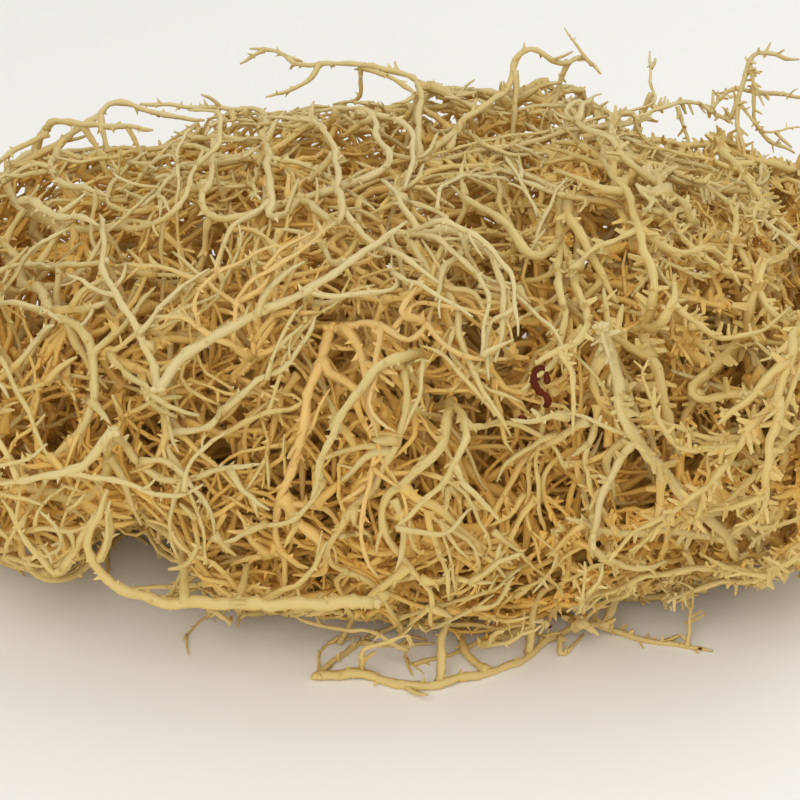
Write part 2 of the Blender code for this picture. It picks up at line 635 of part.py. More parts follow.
def cut_back(tangle):
    """Cuts the younger strand of each pair that still crosses, just short of the crossing."""
    def youth(end):
        strand, place = end
        return strand["order"], place - len(strand["path"])

    for pair in sorted(conflicts(tangle), key=lambda pair: youth(max(pair, key=youth)), reverse=True):
        if all(strand in tangle.strands and place < len(strand["path"]) - 1 for strand, place in pair):
            strand, place = max(pair, key=youth)
            lost = set(strand["path"][place + 1:])
            del strand["path"][place + 1:]
            del strand["radii"][place + 1:]
            drop_loose(tangle, lost)


def drop_loose(tangle, lost):
    """Drops strands that are down to their root, and those that grew from what was cut."""
    loose = [s for s in tangle.strands if len(s["path"]) < 2 or s["holds"] in lost]
    while loose:
        for strand in loose:
            lost |= set(strand["path"][1:])
            tangle.strands.remove(strand)
        loose = [s for s in tangle.strands if s["holds"] in lost]


def add_spines(tangle, name, dice):
    """Short thorns all round a spiny frond's thick stems."""
    for strand in [s for s in tangle.strands if s["frond"] == name and s["order"] < 2]:
        path = strand["path"]
        for i in range(1, len(path) - 1):
            here = tangle.points[path[i]].lerp(tangle.points[path[i + 1]], 0.6)
            way = (tangle.points[path[i + 1]] - tangle.points[path[i]]).normalized()
            turn = dice.uniform(0, 2 * math.pi)
            side = way.orthogonal().normalized()
            other = way.cross(side)
            heading = side * math.cos(turn) + other * math.sin(turn) + way * 0.5
            reach = strand["radii"][i] + dice.uniform(*SPINE_LENGTH)
            tip = here + heading.normalized() * reach
            if tip.z > 0.2 and strand["radii"][i] > 0.75:
                base = tangle.add_point(here, 0.0)
                tangle.add_strand(name, 3, 0, base, [tip], (SPINE_RADIUS, 0.0), 0.0)["holds"] = path[i + 1]


def grow_clump():
    """The whole tangle, settled and cut clear, with the fronds' root points."""
    tangle, roots = Tangle(), {}
    for number, (name, plan) in enumerate(FRONDS.items()):
        roots[name] = grow_shown_frond(tangle, name, plan, random.Random(SEED + number))
    for number, (name, plan) in enumerate(FAR_FRONDS.items()):
        roots[name] = grow_far_frond(tangle, name, plan, random.Random(SEED + 100 + number))
    numbers = {name: number for number, name in enumerate(roots)}
    for strand in tangle.strands:
        strand["frond_number"] = numbers[strand["frond"]]
    settle(tangle)
    part_forks(tangle)
    cut_back(tangle)
    for name, plan in FRONDS.items():
        if plan.get("spiny"):
            add_spines(tangle, name, random.Random(SEED + 200 + numbers[name]))
    for strand in tangle.strands:
        strand["frond_number"] = numbers[strand["frond"]]
    cut_back(tangle)
    return tangle, roots


def clear_scene():
    """Removes whatever objects and collections the file holds."""
    for old in list(bpy.data.objects):
        bpy.data.objects.remove(old, do_unlink=True)
    for old in list(bpy.data.collections):
        bpy.data.collections.remove(old)


def material(name, colour, roughness):
    """A plain surface of one colour."""
    made = bpy.data.materials.new(name)
    made.use_nodes = True
    shader = made.node_tree.nodes["Principled BSDF"]
    shader.inputs["Base Color"].default_value = (*colour, 1)
    shader.inputs["Roughness"].default_value = roughness
    shader.inputs["Metallic"].default_value = 0
    made.diffuse_color = (*colour, 1)
    return made


def profile(sides, collection):
    """The guide that gives strands their section: a ring with that many sides."""
    curve = bpy.data.curves.new(f"profile_{sides}", "CURVE")
    ring = curve.splines.new("POLY")
    ring.points.add(sides - 1)
    for number, corner in enumerate(ring.points):
        turn = 2 * math.pi * number / sides
        corner.co = (MM * math.cos(turn), MM * math.sin(turn), 0, 1)
    ring.use_cyclic_u = True
    made = bpy.data.objects.new(f"profile_{sides}", curve)
    made.hide_render = True
    made.display_type = "WIRE"
    collection.objects.link(made)
    return made


def tube(points, radii, section, collection):
    """A mesh tube through points, from a poly curve with that section, closed at both ends."""
    curve = bpy.data.curves.new("strand", "CURVE")
    curve.dimensions = "3D"
    curve.bevel_mode = "OBJECT"
    curve.bevel_object = section
    curve.use_fill_caps = True
    spline = curve.splines.new("POLY")
    spline.points.add(len(points) - 1)
    for spot, point, radius in zip(spline.points, points, radii):
        spot.co = (*(point * MM), 1)
        spot.radius = radius
    holder = bpy.data.objects.new("strand", curve)
    collection.objects.link(holder)
    bpy.context.view_layer.update()
    shape = holder.evaluated_get(bpy.context.evaluated_depsgraph_get())
    mesh = bpy.data.meshes.new_from_object(shape)
    weld(mesh)
    made = bpy.data.objects.new("strand", mesh)
    made.matrix_world = holder.matrix_world
    collection.objects.link(made)
    bpy.data.objects.remove(holder, do_unlink=True)
    return made


def weld(mesh):
    """Joins points that lie on each other, such as those round a tube's caps."""
    work = bmesh.new()
    work.from_mesh(mesh)
    bmesh.ops.remove_doubles(work, verts=work.verts, dist=0.00001)
    bmesh.ops.recalc_face_normals(work, faces=work.faces)
    work.to_mesh(mesh)
    work.free()


def spine(base, tip, collection):
    """A three-sided cone from inside its stem to its point."""
    way = tip - base
    work = bmesh.new()
    bmesh.ops.create_cone(work, cap_ends=True, segments=3, radius1=SPINE_RADIUS * MM, radius2=0,
                          depth=way.length * MM)
    bmesh.ops.remove_doubles(work, verts=work.verts, dist=0.00001)
    turn = Vector((0, 0, 1)).rotation_difference(way).to_matrix().to_4x4()
    turn.translation = (base + way / 2) * MM
    bmesh.ops.transform(work, matrix=turn, verts=work.verts)
    mesh = bpy.data.meshes.new("spine")
    work.to_mesh(mesh)
    work.free()
    made = bpy.data.objects.new("spine", mesh)
    collection.objects.link(made)
    return made


def foot(centre, size, dice, collection):
    """The small uneven lump that a frond's stems grow from."""
    work = bmesh.new()
    bmesh.ops.create_icosphere(work, subdivisions=1, radius=size * MM)
    for corner in work.verts:
        corner.co *= dice.uniform(0.8, 1.2)
    bmesh.ops.translate(work, vec=centre * MM, verts=work.verts)
    mesh = bpy.data.meshes.new("foot")
    work.to_mesh(mesh)
    work.free()
    made = bpy.data.objects.new("foot", mesh)
    collection.objects.link(made)
    return made


def apply_boolean(body, operation, solver, collection=None, cutter=None):
    """Joins a collection to a body, or cuts the body by one object, and keeps the result as its mesh."""
    change = body.modifiers.new("change", "BOOLEAN")
    change.operation = operation
    change.solver = solver
    if collection:
        change.operand_type = "COLLECTION"
        change.collection = collection
    else:
        change.object = cutter
    keep_result(body)


def keep_result(body):
    """Gives a body the mesh that its modifier makes of it, and drops the modifier."""
    bpy.context.view_layer.update()
    shape = body.evaluated_get(bpy.context.evaluated_depsgraph_get())
    mesh = bpy.data.meshes.new_from_object(shape)
    body.modifiers.clear()
    old, body.data = body.data, mesh
    bpy.data.meshes.remove(old)


def thin_out(mesh):
    """Takes out the splinters that joining leaves along each fork, and rings that hardly bend their strand."""
    work = bmesh.new()
    work.from_mesh(mesh)
    bmesh.ops.dissolve_limit(work, angle_limit=LEAST_BEND, verts=work.verts, edges=work.edges)
    bmesh.ops.triangulate(work, faces=work.faces)
    work.to_mesh(mesh)
    work.free()


def floor_cutter(collection):
    """A slab under the surface that the clump rests on: what presses into it is cut flat."""
    work = bmesh.new()
    bmesh.ops.create_cube(work, size=1)
    bmesh.ops.scale(work, vec=(0.6, 0.6, 0.02), verts=work.verts)
    bmesh.ops.translate(work, vec=(0, 0, -0.01), verts=work.verts)
    mesh = bpy.data.meshes.new("floor_cutter")
    work.to_mesh(mesh)
    work.free()
    made = bpy.data.objects.new("floor_cutter", mesh)
    made.hide_render = True
    made.display_type = "WIRE"
    collection.objects.link(made)
    return made


def build_frond(tangle, name, root, offset, home, sections, cutter):
    """One frond as one solid."""
    scrap = bpy.data.collections.new("joined")
    bpy.context.scene.collection.children.link(scrap)
    dice = random.Random(SEED + 300 + root)
    body = foot(tangle.points[root] + offset, FOOT_SIZE, dice, home)
    for strand in [s for s in tangle.strands if s["frond"] == name]:
        points = [tangle.points[i] + offset for i in strand["path"]]
        if strand["sides"]:
            tube(points, strand["radii"], sections[strand["sides"]], scrap)
        else:
            spine(points[0], points[1], scrap)
    apply_boolean(body, "UNION", "MANIFOLD", collection=scrap)
    for used in list(scrap.objects):
        bpy.data.objects.remove(used, do_unlink=True)
    bpy.data.collections.remove(scrap)
    if min(corner.co.z for corner in body.data.vertices) < 0:
        apply_boolean(body, "DIFFERENCE", "MANIFOLD", cutter=cutter)
    thin_out(body.data)
    body.name = body.data.name = "frond_" + name
    body.data.materials.clear()
    body.data.shade_smooth()
    body.data.set_sharp_from_angle(angle=math.radians(60))
    return body


def middle_offset(tangle):
    """Across and back, from the middle of the strands' whole extent to the origin."""
    low, high = Vector((1e9,) * 3), Vector((-1e9,) * 3)
    for strand in tangle.strands:
        for i, radius in zip(strand["path"], strand["radii"]):
            for k in range(3):
                low[k] = min(low[k], tangle.points[i][k] - radius)
                high[k] = max(high[k], tangle.points[i][k] + radius)
    return Vector((-(low.x + high.x) / 2, -(low.y + high.y) / 2, 0))


def main():
    clear_scene()
    clump = bpy.data.collections.new("gracilaria_seaweed")
    cutters = bpy.data.collections.new("cutters")
    bpy.context.scene.collection.children.link(clump)
    bpy.context.scene.collection.children.link(cutters)
    tangle, roots = grow_clump()
    offset = middle_offset(tangle)
    cutter = floor_cutter(cutters)
    sections = {sides: profile(sides, cutters) for sides in (3, 4, 5)}
    for name, root in roots.items():
        frond = build_frond(tangle, name, root, offset, clump, sections, cutter)
        frond.data.materials.append(material("dried_" + name, COLOURS.get(name, COLOURS["most"]), 0.6))


if __name__ == "__main__":
    main()
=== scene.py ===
"""Dried gracilaria seaweed, dressed for a studio picture.

The fronds' stems and branches are grown again by the same rules as the solids they replace. Each is then made
round and crooked, and carries finer branches, twigs and thorns, which creep through the room between strands.
"""

import functools
import json
import math
import random

import bpy
import numpy as np
from bpy.props import FloatProperty, FloatVectorProperty, PointerProperty
from bpy.types import Operator, Panel, PropertyGroup
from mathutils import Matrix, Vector, kdtree


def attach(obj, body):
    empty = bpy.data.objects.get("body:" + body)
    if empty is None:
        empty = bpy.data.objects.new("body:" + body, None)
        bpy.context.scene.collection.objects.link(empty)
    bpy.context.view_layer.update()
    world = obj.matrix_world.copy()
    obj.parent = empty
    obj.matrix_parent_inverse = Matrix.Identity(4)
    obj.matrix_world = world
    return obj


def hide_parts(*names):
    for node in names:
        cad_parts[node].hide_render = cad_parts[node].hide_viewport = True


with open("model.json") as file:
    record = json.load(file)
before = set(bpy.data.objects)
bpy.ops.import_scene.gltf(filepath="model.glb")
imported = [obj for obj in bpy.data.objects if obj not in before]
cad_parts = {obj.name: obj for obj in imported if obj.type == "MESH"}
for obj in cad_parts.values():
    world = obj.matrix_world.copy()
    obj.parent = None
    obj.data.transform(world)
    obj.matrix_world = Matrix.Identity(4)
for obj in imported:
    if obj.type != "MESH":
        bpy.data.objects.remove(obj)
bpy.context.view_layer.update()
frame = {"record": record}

bl_info = {
    "name": "Dried Gracilaria",
    "version": (1, 0, 0),
    "blender": (4, 5, 0),
    "location": "3D View > Sidebar > Seaweed",
    "description": "Dresses a clump of dried gracilaria fronds and sets up its studio",
    "category": "Add Mesh",
}

MM = 0.001
SEED = 20
SLOTS = {entry["node"]: entry["material_slot"] for entry in frame["record"]["subparts"]}

# The dome that the clump fills, in millimetres: broad, flat on top, and narrower at its foot than halfway up.
DOME_HALF_WIDTH = 97.0
DOME_HALF_DEPTH = 64.0
DOME_MIDDLE_HEIGHT = 27.0
DOME_RISE = 55.0
DOME_DROP = 32.0
DOME_SQUARENESS = 2.5
DOME_LUMP = 0.05
DOME_LUMP_LENGTH = 13.0

# The view that the routes are read in: pixels of a square picture, and where the picture was taken from.
PICTURE_MIDDLE = 400
MM_PER_PIXEL = 0.2
VIEW_DISTANCE = 460.0
VIEW_ELEVATION = math.radians(34.0)
VIEW_AIM = (1.0, -1.0, 25.5)

# Stems and branches, in millimetres: radius at the base and at the tip.
STEM_WIDTHS = {
    "stout": (1.5, 0.8),
    "thick": (1.3, 0.65),
    "even": (1.0, 0.55),
    "fine": (0.72, 0.42),
    "hair": (0.45, 0.32),
}
STEM_SIDES = {"stout": 5, "thick": 5, "even": 4, "fine": 4, "hair": 3}
TIP_RADIUS = 0.5
STEM_STEP = 9.5
BRANCH_STEP = 8.5
BRANCH_LENGTH = (10.0, 36.0, 17.0)
BRANCH_EVERY = (6.5, 12.0)
BRANCH_ANGLE = (32.0, 68.0)
BRANCH_OUT_OF_PLANE = 60.0
BRANCH_DEPTH = (0.68, 1.04)
DOME_STRAY = 0.05
BRANCH_WILDNESS = 0.32
BRANCH_SHARE = (0.7, 0.95)
BRANCH_SIDES = 3

# Between fronds there is a clear gap. On the floor a strand is pressed flat: its middle is as high above it
# as this share of its radius, by the number of its sides. What comes within reach of the floor sinks onto it.
GAP = 0.45
LEAST_GAP = 0.22
PRESSED = {3: 0.42, 4: 0.6, 5: 0.7}
SINK_REACH = 2.5
SETTLE_ROUNDS = 140
FREE_JOINTS = 3

# How deep in the dome the stems of the shown fronds run.
SHOWN_DEPTH = (0.86, 1.02)

# Fronds whose stems show in the picture. Each has a root, deep in the dome or on it (depth 1), and its stems
# as picture points, from where each leaves the root, or another stem of the frond ("fork"), to its tip.
FRONDS = {
    "fork": {"root": (158, 390), "depth": 1.03, "branches": 20, "stems": [
        ("thick", "root", [(163, 372), (178, 360), (200, 345), (235, 325), (272, 309), (307, 288),
            (335, 272), (362, 255), (385, 242), (408, 222)]),
        ("even", "root", [(153, 360), (140, 336), (125, 310), (112, 290), (103, 262), (104, 238),
            (99, 214)]),
        ("fine", "fork", [(307, 288), (330, 296), (352, 297), (372, 291), (392, 289), (398, 273),
            (394, 258), (388, 250)]),
        ("fine", "fork", [(140, 336), (152, 322), (160, 308), (172, 300), (186, 292), (196, 282),
            (208, 268)]),
        ("fine", "fork", [(272, 309), (300, 306), (325, 302), (348, 298), (375, 285)]),
    ]},
    "sweep": {"root": (-20, 225), "depth": 0.75, "branches": 22, "stems": [
        ("stout", "root", [(3, 256), (20, 276), (40, 294), (62, 318), (83, 338), (93, 356), (98, 381),
            (96, 402), (86, 422), (69, 440), (50, 462)]),
        ("even", "root", [(0, 302), (22, 300), (38, 313), (58, 322)]),
        ("even", "fork", [(98, 381), (104, 404), (110, 422)]),
        ("even", "root", [(-10, 340), (8, 366), (16, 392), (26, 416), (42, 440), (52, 462)]),
        ("thick", "root", [(20, 262), (48, 268), (76, 264), (98, 270), (103, 262)]),
    ]},
    "fringe": {"root": (112, 432), "depth": 1.02, "branches": 20, "stems": [
        ("thick", "root", [(100, 448), (84, 464), (66, 470), (48, 476), (22, 482), (-6, 482)]),
        ("even", "root", [(128, 452), (140, 468), (158, 478), (182, 483), (205, 474), (230, 467),
            (262, 466)]),
        ("thick", "root", [(112, 450), (108, 470), (98, 488), (84, 500), (50, 494), (20, 474), (-2, 446),
            (-30, 420)]),
        ("fine", "fork", [(98, 488), (122, 482), (150, 490), (180, 499), (206, 484)]),
        ("even", "fork", [(182, 483), (162, 462), (158, 446), (168, 433), (190, 432), (210, 428),
            (226, 412), (232, 395)]),
        ("fine", "fork", [(84, 500), (86, 515), (87, 528)]),
    ]},
    "arch": {"root": (373, 602), "depth": 1.0, "branches": 16, "stems": [
        ("stout", "root", [(334, 605), (291, 600), (262, 604), (231, 602), (182, 604), (141, 598),
            (117, 587), (96, 568), (89, 540), (92, 512), (108, 492)]),
        ("fine", "fork", [(96, 568), (106, 545), (106, 520), (112, 500)]),
        ("even", "fork", [(89, 540), (66, 562), (46, 580), (38, 565), (34, 545), (20, 520), (2, 500)]),
        ("fine", "fork", [(182, 604), (190, 590), (202, 582)]),
        ("hair", "fork", [(231, 602), (212, 618), (190, 636), (183, 645)]),
    ]},
    "spray": {"root": (318, 676), "depth": 1.0, "branches": 18, "stems": [
        ("thick", "root", [(348, 672), (375, 678), (406, 684), (437, 686), (468, 681), (494, 671),
            (515, 662), (534, 653), (552, 640), (568, 630), (582, 624)]),
        ("even", "fork", [(582, 624), (599, 628), (620, 635), (640, 642), (668, 644), (694, 645),
            (713, 653)]),
        ("fine", "root", [(334, 664), (348, 650), (372, 638), (399, 630), (423, 627), (451, 621),
            (475, 610), (492, 596)]),
        ("fine", "root", [(355, 668), (362, 652), (386, 643), (410, 636)]),
        ("hair", "root", [(313, 661), (325, 649), (345, 645), (362, 640)]),
        ("hair", "fork", [(399, 630), (408, 655), (422, 675)]),
        ("even", "fork", [(568, 630), (563, 612), (558, 602)]),
        ("fine", "fork", [(534, 653), (548, 660), (566, 654), (580, 650), (582, 636)]),
    ]},
    "curtain": {"root": (450, 400), "depth": 0.72, "branches": 26, "stems": [
        ("thick", "root", [(447, 433), (437, 450), (420, 465), (403, 482), (392, 499), (382, 516),
            (383, 534), (396, 550), (411, 568), (423, 585), (434, 602), (430, 624)]),
        ("even", "root", [(468, 433), (455, 458), (446, 478), (430, 496), (413, 513), (396, 528)]),
        ("fine", "fork", [(413, 513), (432, 524), (446, 535), (462, 538), (470, 524), (474, 508)]),
        ("fine", "fork", [(423, 585), (412, 600), (408, 622)]),
    ]},
    "drape": {"root": (420, 350), "depth": 0.8, "branches": 26, "stems": [
        ("thick", "root", [(403, 356), (382, 366), (367, 380), (351, 398), (338, 422), (327, 450),
            (318, 476), (310, 500)]),
        ("even", "root", [(406, 360), (406, 389), (403, 420), (396, 446), (382, 475), (367, 490),
            (353, 505), (342, 526), (334, 551), (330, 568), (342, 577), (365, 583), (386, 595), (396, 616),
            (401, 636)]),
        ("even", "fork", [(403, 420), (389, 447), (368, 458), (351, 465), (338, 480)]),
        ("fine", "root", [(420, 372), (419, 392), (412, 412), (406, 432)]),
    ]},
    "plume": {"root": (404, 236), "depth": 0.92, "branches": 26, "stems": [
        ("even", "root", [(420, 229), (437, 229), (458, 235), (477, 246), (492, 264), (501, 286),
            (504, 307), (498, 338), (494, 362)]),
        ("fine", "root", [(425, 236), (446, 244), (466, 258), (480, 276), (488, 300), (486, 330),
            (482, 356)]),
        ("fine", "root", [(432, 222), (456, 226), (480, 238), (500, 258), (512, 284), (514, 312),
            (520, 336)]),
        ("even", "root", [(449, 295), (456, 320), (466, 352), (478, 380), (492, 407), (513, 438)]),
        ("fine", "fork", [(478, 380), (458, 369), (437, 358), (416, 346)]),
        ("fine", "fork", [(478, 380), (487, 356), (503, 349), (513, 338)]),
    ]},
    "amber": {"root": (330, 330), "depth": 0.85, "branches": 26, "stems": [
        ("thick", "root", [(318, 345), (314, 372), (312, 402), (304, 430), (292, 458), (284, 486),
            (278, 515), (276, 545), (284, 575), (284, 602)]),
        ("even", "root", [(350, 318), (372, 322), (388, 340), (404, 350), (416, 338), (430, 324),
            (436, 300)]),
        ("even", "fork", [(404, 350), (396, 326), (408, 304), (418, 286), (424, 272)]),
        ("fine", "fork", [(304, 430), (326, 410), (330, 388)]),
        ("even", "fork", [(278, 515), (262, 530), (248, 548), (232, 566)]),
    ]},
    "bow": {"root": (600, 327), "depth": 1.05, "branches": 20, "stems": [
        ("thick", "root", [(606, 352), (616, 372), (623, 394), (626, 415), (634, 437), (651, 458),
            (662, 472), (678, 489), (695, 504), (711, 520), (723, 540), (737, 558), (752, 583)]),
        ("thick", "fork", [(711, 520), (728, 519), (742, 530), (757, 540), (769, 568)]),
        ("fine", "root", [(589, 352), (583, 366), (598, 377), (614, 380)]),
        ("even", "fork", [(711, 520), (694, 525), (661, 532), (637, 536), (613, 533), (590, 530),
            (568, 517)]),
        ("even", "fork", [(634, 437), (621, 461), (609, 482), (599, 504), (592, 526), (590, 543),
            (604, 558), (626, 567), (651, 567), (668, 560)]),
        ("hair", "root", [(590, 330), (588, 318)]),
        ("fine", "fork", [(626, 415), (606, 414), (586, 411), (556, 412)]),
    ]},
    "thorn": {"root": (640, 330), "depth": 0.8, "branches": 24, "stems": [
        ("stout", "root", [(655, 300), (647, 262), (640, 232), (633, 207), (620, 186), (606, 165),
            (600, 140)]),
        ("thick", "fork", [(647, 262), (664, 248), (682, 253), (716, 252), (732, 266), (740, 284)]),
        ("stout", "root", [(648, 350), (655, 372), (661, 402), (672, 428), (678, 458)]),
        ("thick", "root", [(664, 318), (678, 300), (676, 276)]),
    ]},
    "rim": {"root": (745, 340), "depth": 0.8, "branches": 26, "stems": [
        ("thick", "root", [(685, 394), (711, 398), (745, 395), (775, 389), (792, 372), (798, 346)]),
        ("even", "root", [(799, 428), (780, 440), (761, 454), (740, 464), (719, 471), (702, 464)]),
        ("thick", "root", [(754, 292), (757, 274), (776, 258), (798, 244), (822, 236)]),
        ("even", "fork", [(754, 292), (768, 308), (784, 318), (806, 310), (830, 300)]),
        ("even", "fork", [(792, 372), (783, 410), (779, 450), (778, 490), (762, 502), (742, 500),
            (722, 490)]),
    ]},
    "burr": {"root": (560, 240), "depth": 0.8, "branches": 24, "stems": [
        ("stout", "root", [(564, 190), (568, 212), (580, 236), (592, 262), (612, 276), (618, 300)]),
        ("thick", "root", [(540, 262), (524, 240), (500, 222), (478, 204), (452, 188)]),
        ("even", "root", [(560, 290), (566, 318), (560, 350), (548, 372), (520, 392)]),
        ("thick", "root", [(590, 330), (560, 345), (536, 362)]),
    ]},
    "crest": {"root": (300, 200), "depth": 0.85, "branches": 30, "stems": [
        ("even", "root", [(384, 168), (379, 138), (368, 112), (340, 108), (300, 112)]),
        ("even", "fork", [(368, 112), (396, 112), (411, 134), (413, 160), (403, 188)]),
        ("even", "root", [(341, 220), (339, 189), (334, 155), (317, 121), (268, 118)]),
        ("even", "root", [(268, 230), (272, 200), (268, 170), (266, 140), (262, 112), (244, 102),
            (224, 110), (207, 107), (172, 103), (152, 95), (140, 104)]),
        ("even", "root", [(200, 222), (206, 195), (212, 168), (214, 150), (216, 134)]),
    ]},
    "brow": {"root": (60, 230), "depth": 0.85, "branches": 28, "stems": [
        ("thick", "root", [(0, 186), (28, 160), (65, 134), (88, 122), (104, 100), (128, 104), (152, 112),
            (180, 122), (206, 120)]),
        ("even", "fork", [(28, 160), (56, 176), (84, 190), (112, 196)]),
        ("even", "root", [(165, 222), (176, 200), (190, 180), (204, 150)]),
        ("thick", "root", [(20, 196), (46, 212), (78, 218), (96, 226)]),
    ]},
    "horns": {"root": (420, 160), "depth": 0.85, "branches": 30, "stems": [
        ("even", "root", [(417, 82), (399, 67), (375, 68), (348, 63), (317, 66), (299, 63), (282, 58),
            (265, 41), (250, 48)]),
        ("even", "root", [(515, 78), (527, 44), (541, 64), (564, 60), (597, 58), (601, 76)]),
        ("hair", "fork", [(597, 58), (578, 50), (565, 29)]),
        ("hair", "root", [(640, 107), (649, 86), (651, 50)]),
        ("even", "root", [(640, 119), (661, 107), (685, 104), (709, 101), (728, 121), (738, 96), (746, 69),
            (742, 48), (771, 56), (800, 61)]),
        ("hair", "fork", [(728, 121), (747, 118), (762, 131), (782, 133), (802, 128)]),
        ("fine", "fork", [(399, 67), (414, 88), (404, 101), (393, 106)]),
    ]},
}

# Fronds that the picture doesn't show: root as (across, back, up) in millimetres, the way its stems set off,
# and how deep in the dome each runs where that isn't the usual.
FAR_FRONDS = {
    "back_left": {"root": (-45, 24, 46), "headings": [(-0.4, 1, -0.5), (0.9, 0.6, 0.1), (-0.2, -1, -0.2)]},
    "back_right": {"root": (42, 22, 46), "headings": [(0.5, 1, -0.5), (-0.8, 0.8, 0.2), (0.5, -1, -0.5)]},
    "back_low": {"root": (4, 36, 14), "headings": [(-1, 0.7, -0.4), (1, 0.7, -0.4), (0.2, 0.2, 1)]},
    "side_left": {"root": (-60, 8, 14), "headings": [(-0.4, 1, -0.6), (-0.8, -1, 0.2), (0.8, 0.6, 0.2)]},
    "side_right": {"root": (62, 6, 14), "headings": [(0.4, 1, -0.6), (0.8, -1, 0.3), (-0.8, 0.7, 0.2)]},
    "heart": {"root": (0, -2, 26), "headings": [(-1, -0.4, 0.3), (1, -0.3, 0.4), (0.1, 1, 0.2)]},
    "back_middle": {"root": (2, 34, 54), "headings": [(-1, 0.5, -0.6), (1, 0.6, -0.5), (-0.1, 1, -1)],
                    "depths": (0.95, 0.93, 0.9)},
    "flank_left": {"root": (-70, 18, 34), "headings": [(-0.3, 1, 0.5), (-0.4, -1, 0.3), (0.4, 0.8, -1)],
                   "depths": (0.95, 0.93, 0.9)},
    "flank_right": {"root": (76, 14, 34), "headings": [(0.2, 1, 0.4), (0.4, -1, 0.4), (-0.3, 0.8, -1)],
                    "depths": (0.95, 0.93, 0.9)},
}
FAR_STEM_LENGTH = (75.0, 100.0)
FAR_STEM_STEP = 12.0
FAR_BRANCH_STEP = 10.0
FAR_DEPTHS = (0.97, 0.9, 0.72)
FAR_WILDNESS = 0.24
FAR_BRANCHES = 18

# Fronds by the part of the clump that they lie in, and those that are paler than their slot says.
LEFT_FRONDS = ("fork", "sweep", "fringe", "arch", "brow")
MIDDLE_FRONDS = ("curtain", "drape", "plume", "amber", "spray")
RIGHT_FRONDS = ("bow", "thorn", "rim", "burr")
TOP_FRONDS = ("crest", "horns")
HIDDEN_FRONDS = ("back_left", "back_right", "back_low", "back_middle", "side_left", "side_right",
                 "flank_left", "flank_right", "heart")
BRIGHT_FRONDS = ("fork", "bow", "spray")

# How much of a solid strand's corner radius is left when it is made round, by the number of its sides, and
# the steps of its smooth line in millimetres.
ROUNDED = {3: 0.75, 4: 0.76, 5: 0.75}
ROUND_STEP = 1.25

# Strands turn from smooth to all thorns between these two places, in millimetres to the right of the middle.
THORNY_FROM = 22.0
THORNY_FULL = 46.0

# The clump's upper and lower outline in the picture, from left to right, which the added strands keep within.
UPPER_OUTLINE = [(-120, 290), (-60, 222), (0, 178), (50, 158), (100, 160), (160, 158), (200, 131), (215, 113),
                 (300, 111), (350, 108), (380, 95), (440, 90), (490, 93), (530, 82), (600, 88), (630, 112),
                 (650, 150), (700, 152), (735, 142), (745, 162), (800, 174), (860, 205), (920, 270)]
LOWER_OUTLINE = [(-120, 460), (-60, 525), (0, 556), (62, 574), (85, 520), (165, 508), (190, 566), (240, 606),
                 (370, 618), (430, 650), (560, 645), (620, 640), (690, 600), (750, 585), (800, 558),
                 (860, 510), (920, 450)]

# The box that added strands are kept in, in millimetres from its middle and above the floor.
BOX_HALF_WIDTH = 104.0
BOX_HALF_DEPTH = 70.0
BOX_HEIGHTS = (0.3, 90.0)

# Depths in the dome, at which spots for strands of the inside and of the surface are looked for, and from
# which twigs grow.
INSIDE_DEPTHS = (0.1, 0.85)
SURFACE_DEPTHS = (0.74, 0.95)
TWIG_DEPTH = 0.78

# Added strands, in millimetres: the steps they are grown in, how quickly they curl by their order, how far
# apart their forks are, and by order how long each fork is and how often it grows.
INNER_STEP = 3.0
FINE_STEP = 1.8
MEND_STEP = 2.0
CURL = (0.085, 0.095, 0.1)
FORK_GAP = (7.0, 14.0)
FORK_REACH = ((12.0, 40.0), (4.0, 13.0))
FORK_CHANCE = (0.9, 0.35)

# How a creeping strand steers: how much of its bend it keeps from step to step, how strongly it seeks its
# depth and follows the strands nearby, how strongly each pixel over the outline draws it back, and the turns,
# sideways and outwards, that it chooses from.
KEPT_BEND = 0.93
DEPTH_PULL = 3.0
FOLLOWING = 0.7
OUTLINE_PULL = 0.06
TURNS = ((0, 0), (0.28, 0), (-0.28, 0), (0.6, 0), (-0.6, 0), (0, 0.3), (0, -0.3))

# What makes a strand crooked and uneven: waves of these lengths in millimetres, the first kind with heights.
CROOKED_WAVES = ((5.2, 0.25), (9.5, 0.7), (21.0, 1.5))
UNEVEN_WAVES = (2.9, 4.7, 8.3)

# The ways that the clump is looked through: the picture's own, three times as often, and some from other
# sides. The gaps seen are mended in this order, and no more than so many at a time.
PICTURE_SIGHT = (0.0, 0.829, -0.559)
OTHER_SIGHTS = ((0.77, 0.6, -0.2), (-0.77, 0.6, -0.2), (1.0, 0.0, -0.15), (0.0, 0.1, -1.0))
SIGHTS = (*(PICTURE_SIGHT,) * 3, *OTHER_SIGHTS)
MEND_SIGHTS = (PICTURE_SIGHT, *OTHER_SIGHTS) * 2 + (PICTURE_SIGHT,) * 2
MOST_MENDS = 130

# The knotted foot of a frond: its radius in millimetres, its shade and how many lobes it has.
FOOT_RADIUS = 1.3
FOOT_SHADE = 0.6
FOOT_LOBES = 7

# Dark curled scraps and specks: radius in millimetres, and picture points from one end to the other.
SCRAPS = [
    (0.56, [(542, 384), (541, 374), (535, 367), (529, 373), (529, 383), (534, 391), (541, 396), (543, 403),
            (538, 407)]),
    (0.4, [(514, 408), (518, 407), (523, 409)]),
    (0.35, [(522, 366), (527, 362), (532, 363)]),
    (0.3, [(560, 636), (563, 634)]),
    (0.28, [(696, 645), (700, 645)]),
]

# Added strands keep clear of what lies this far before a shown stem, in millimetres, and this strongly.
SCREEN_REACH = (2.0, 3.7, 5.4, 7.1, 8.8)
SCREEN_STRENGTH = 1.2

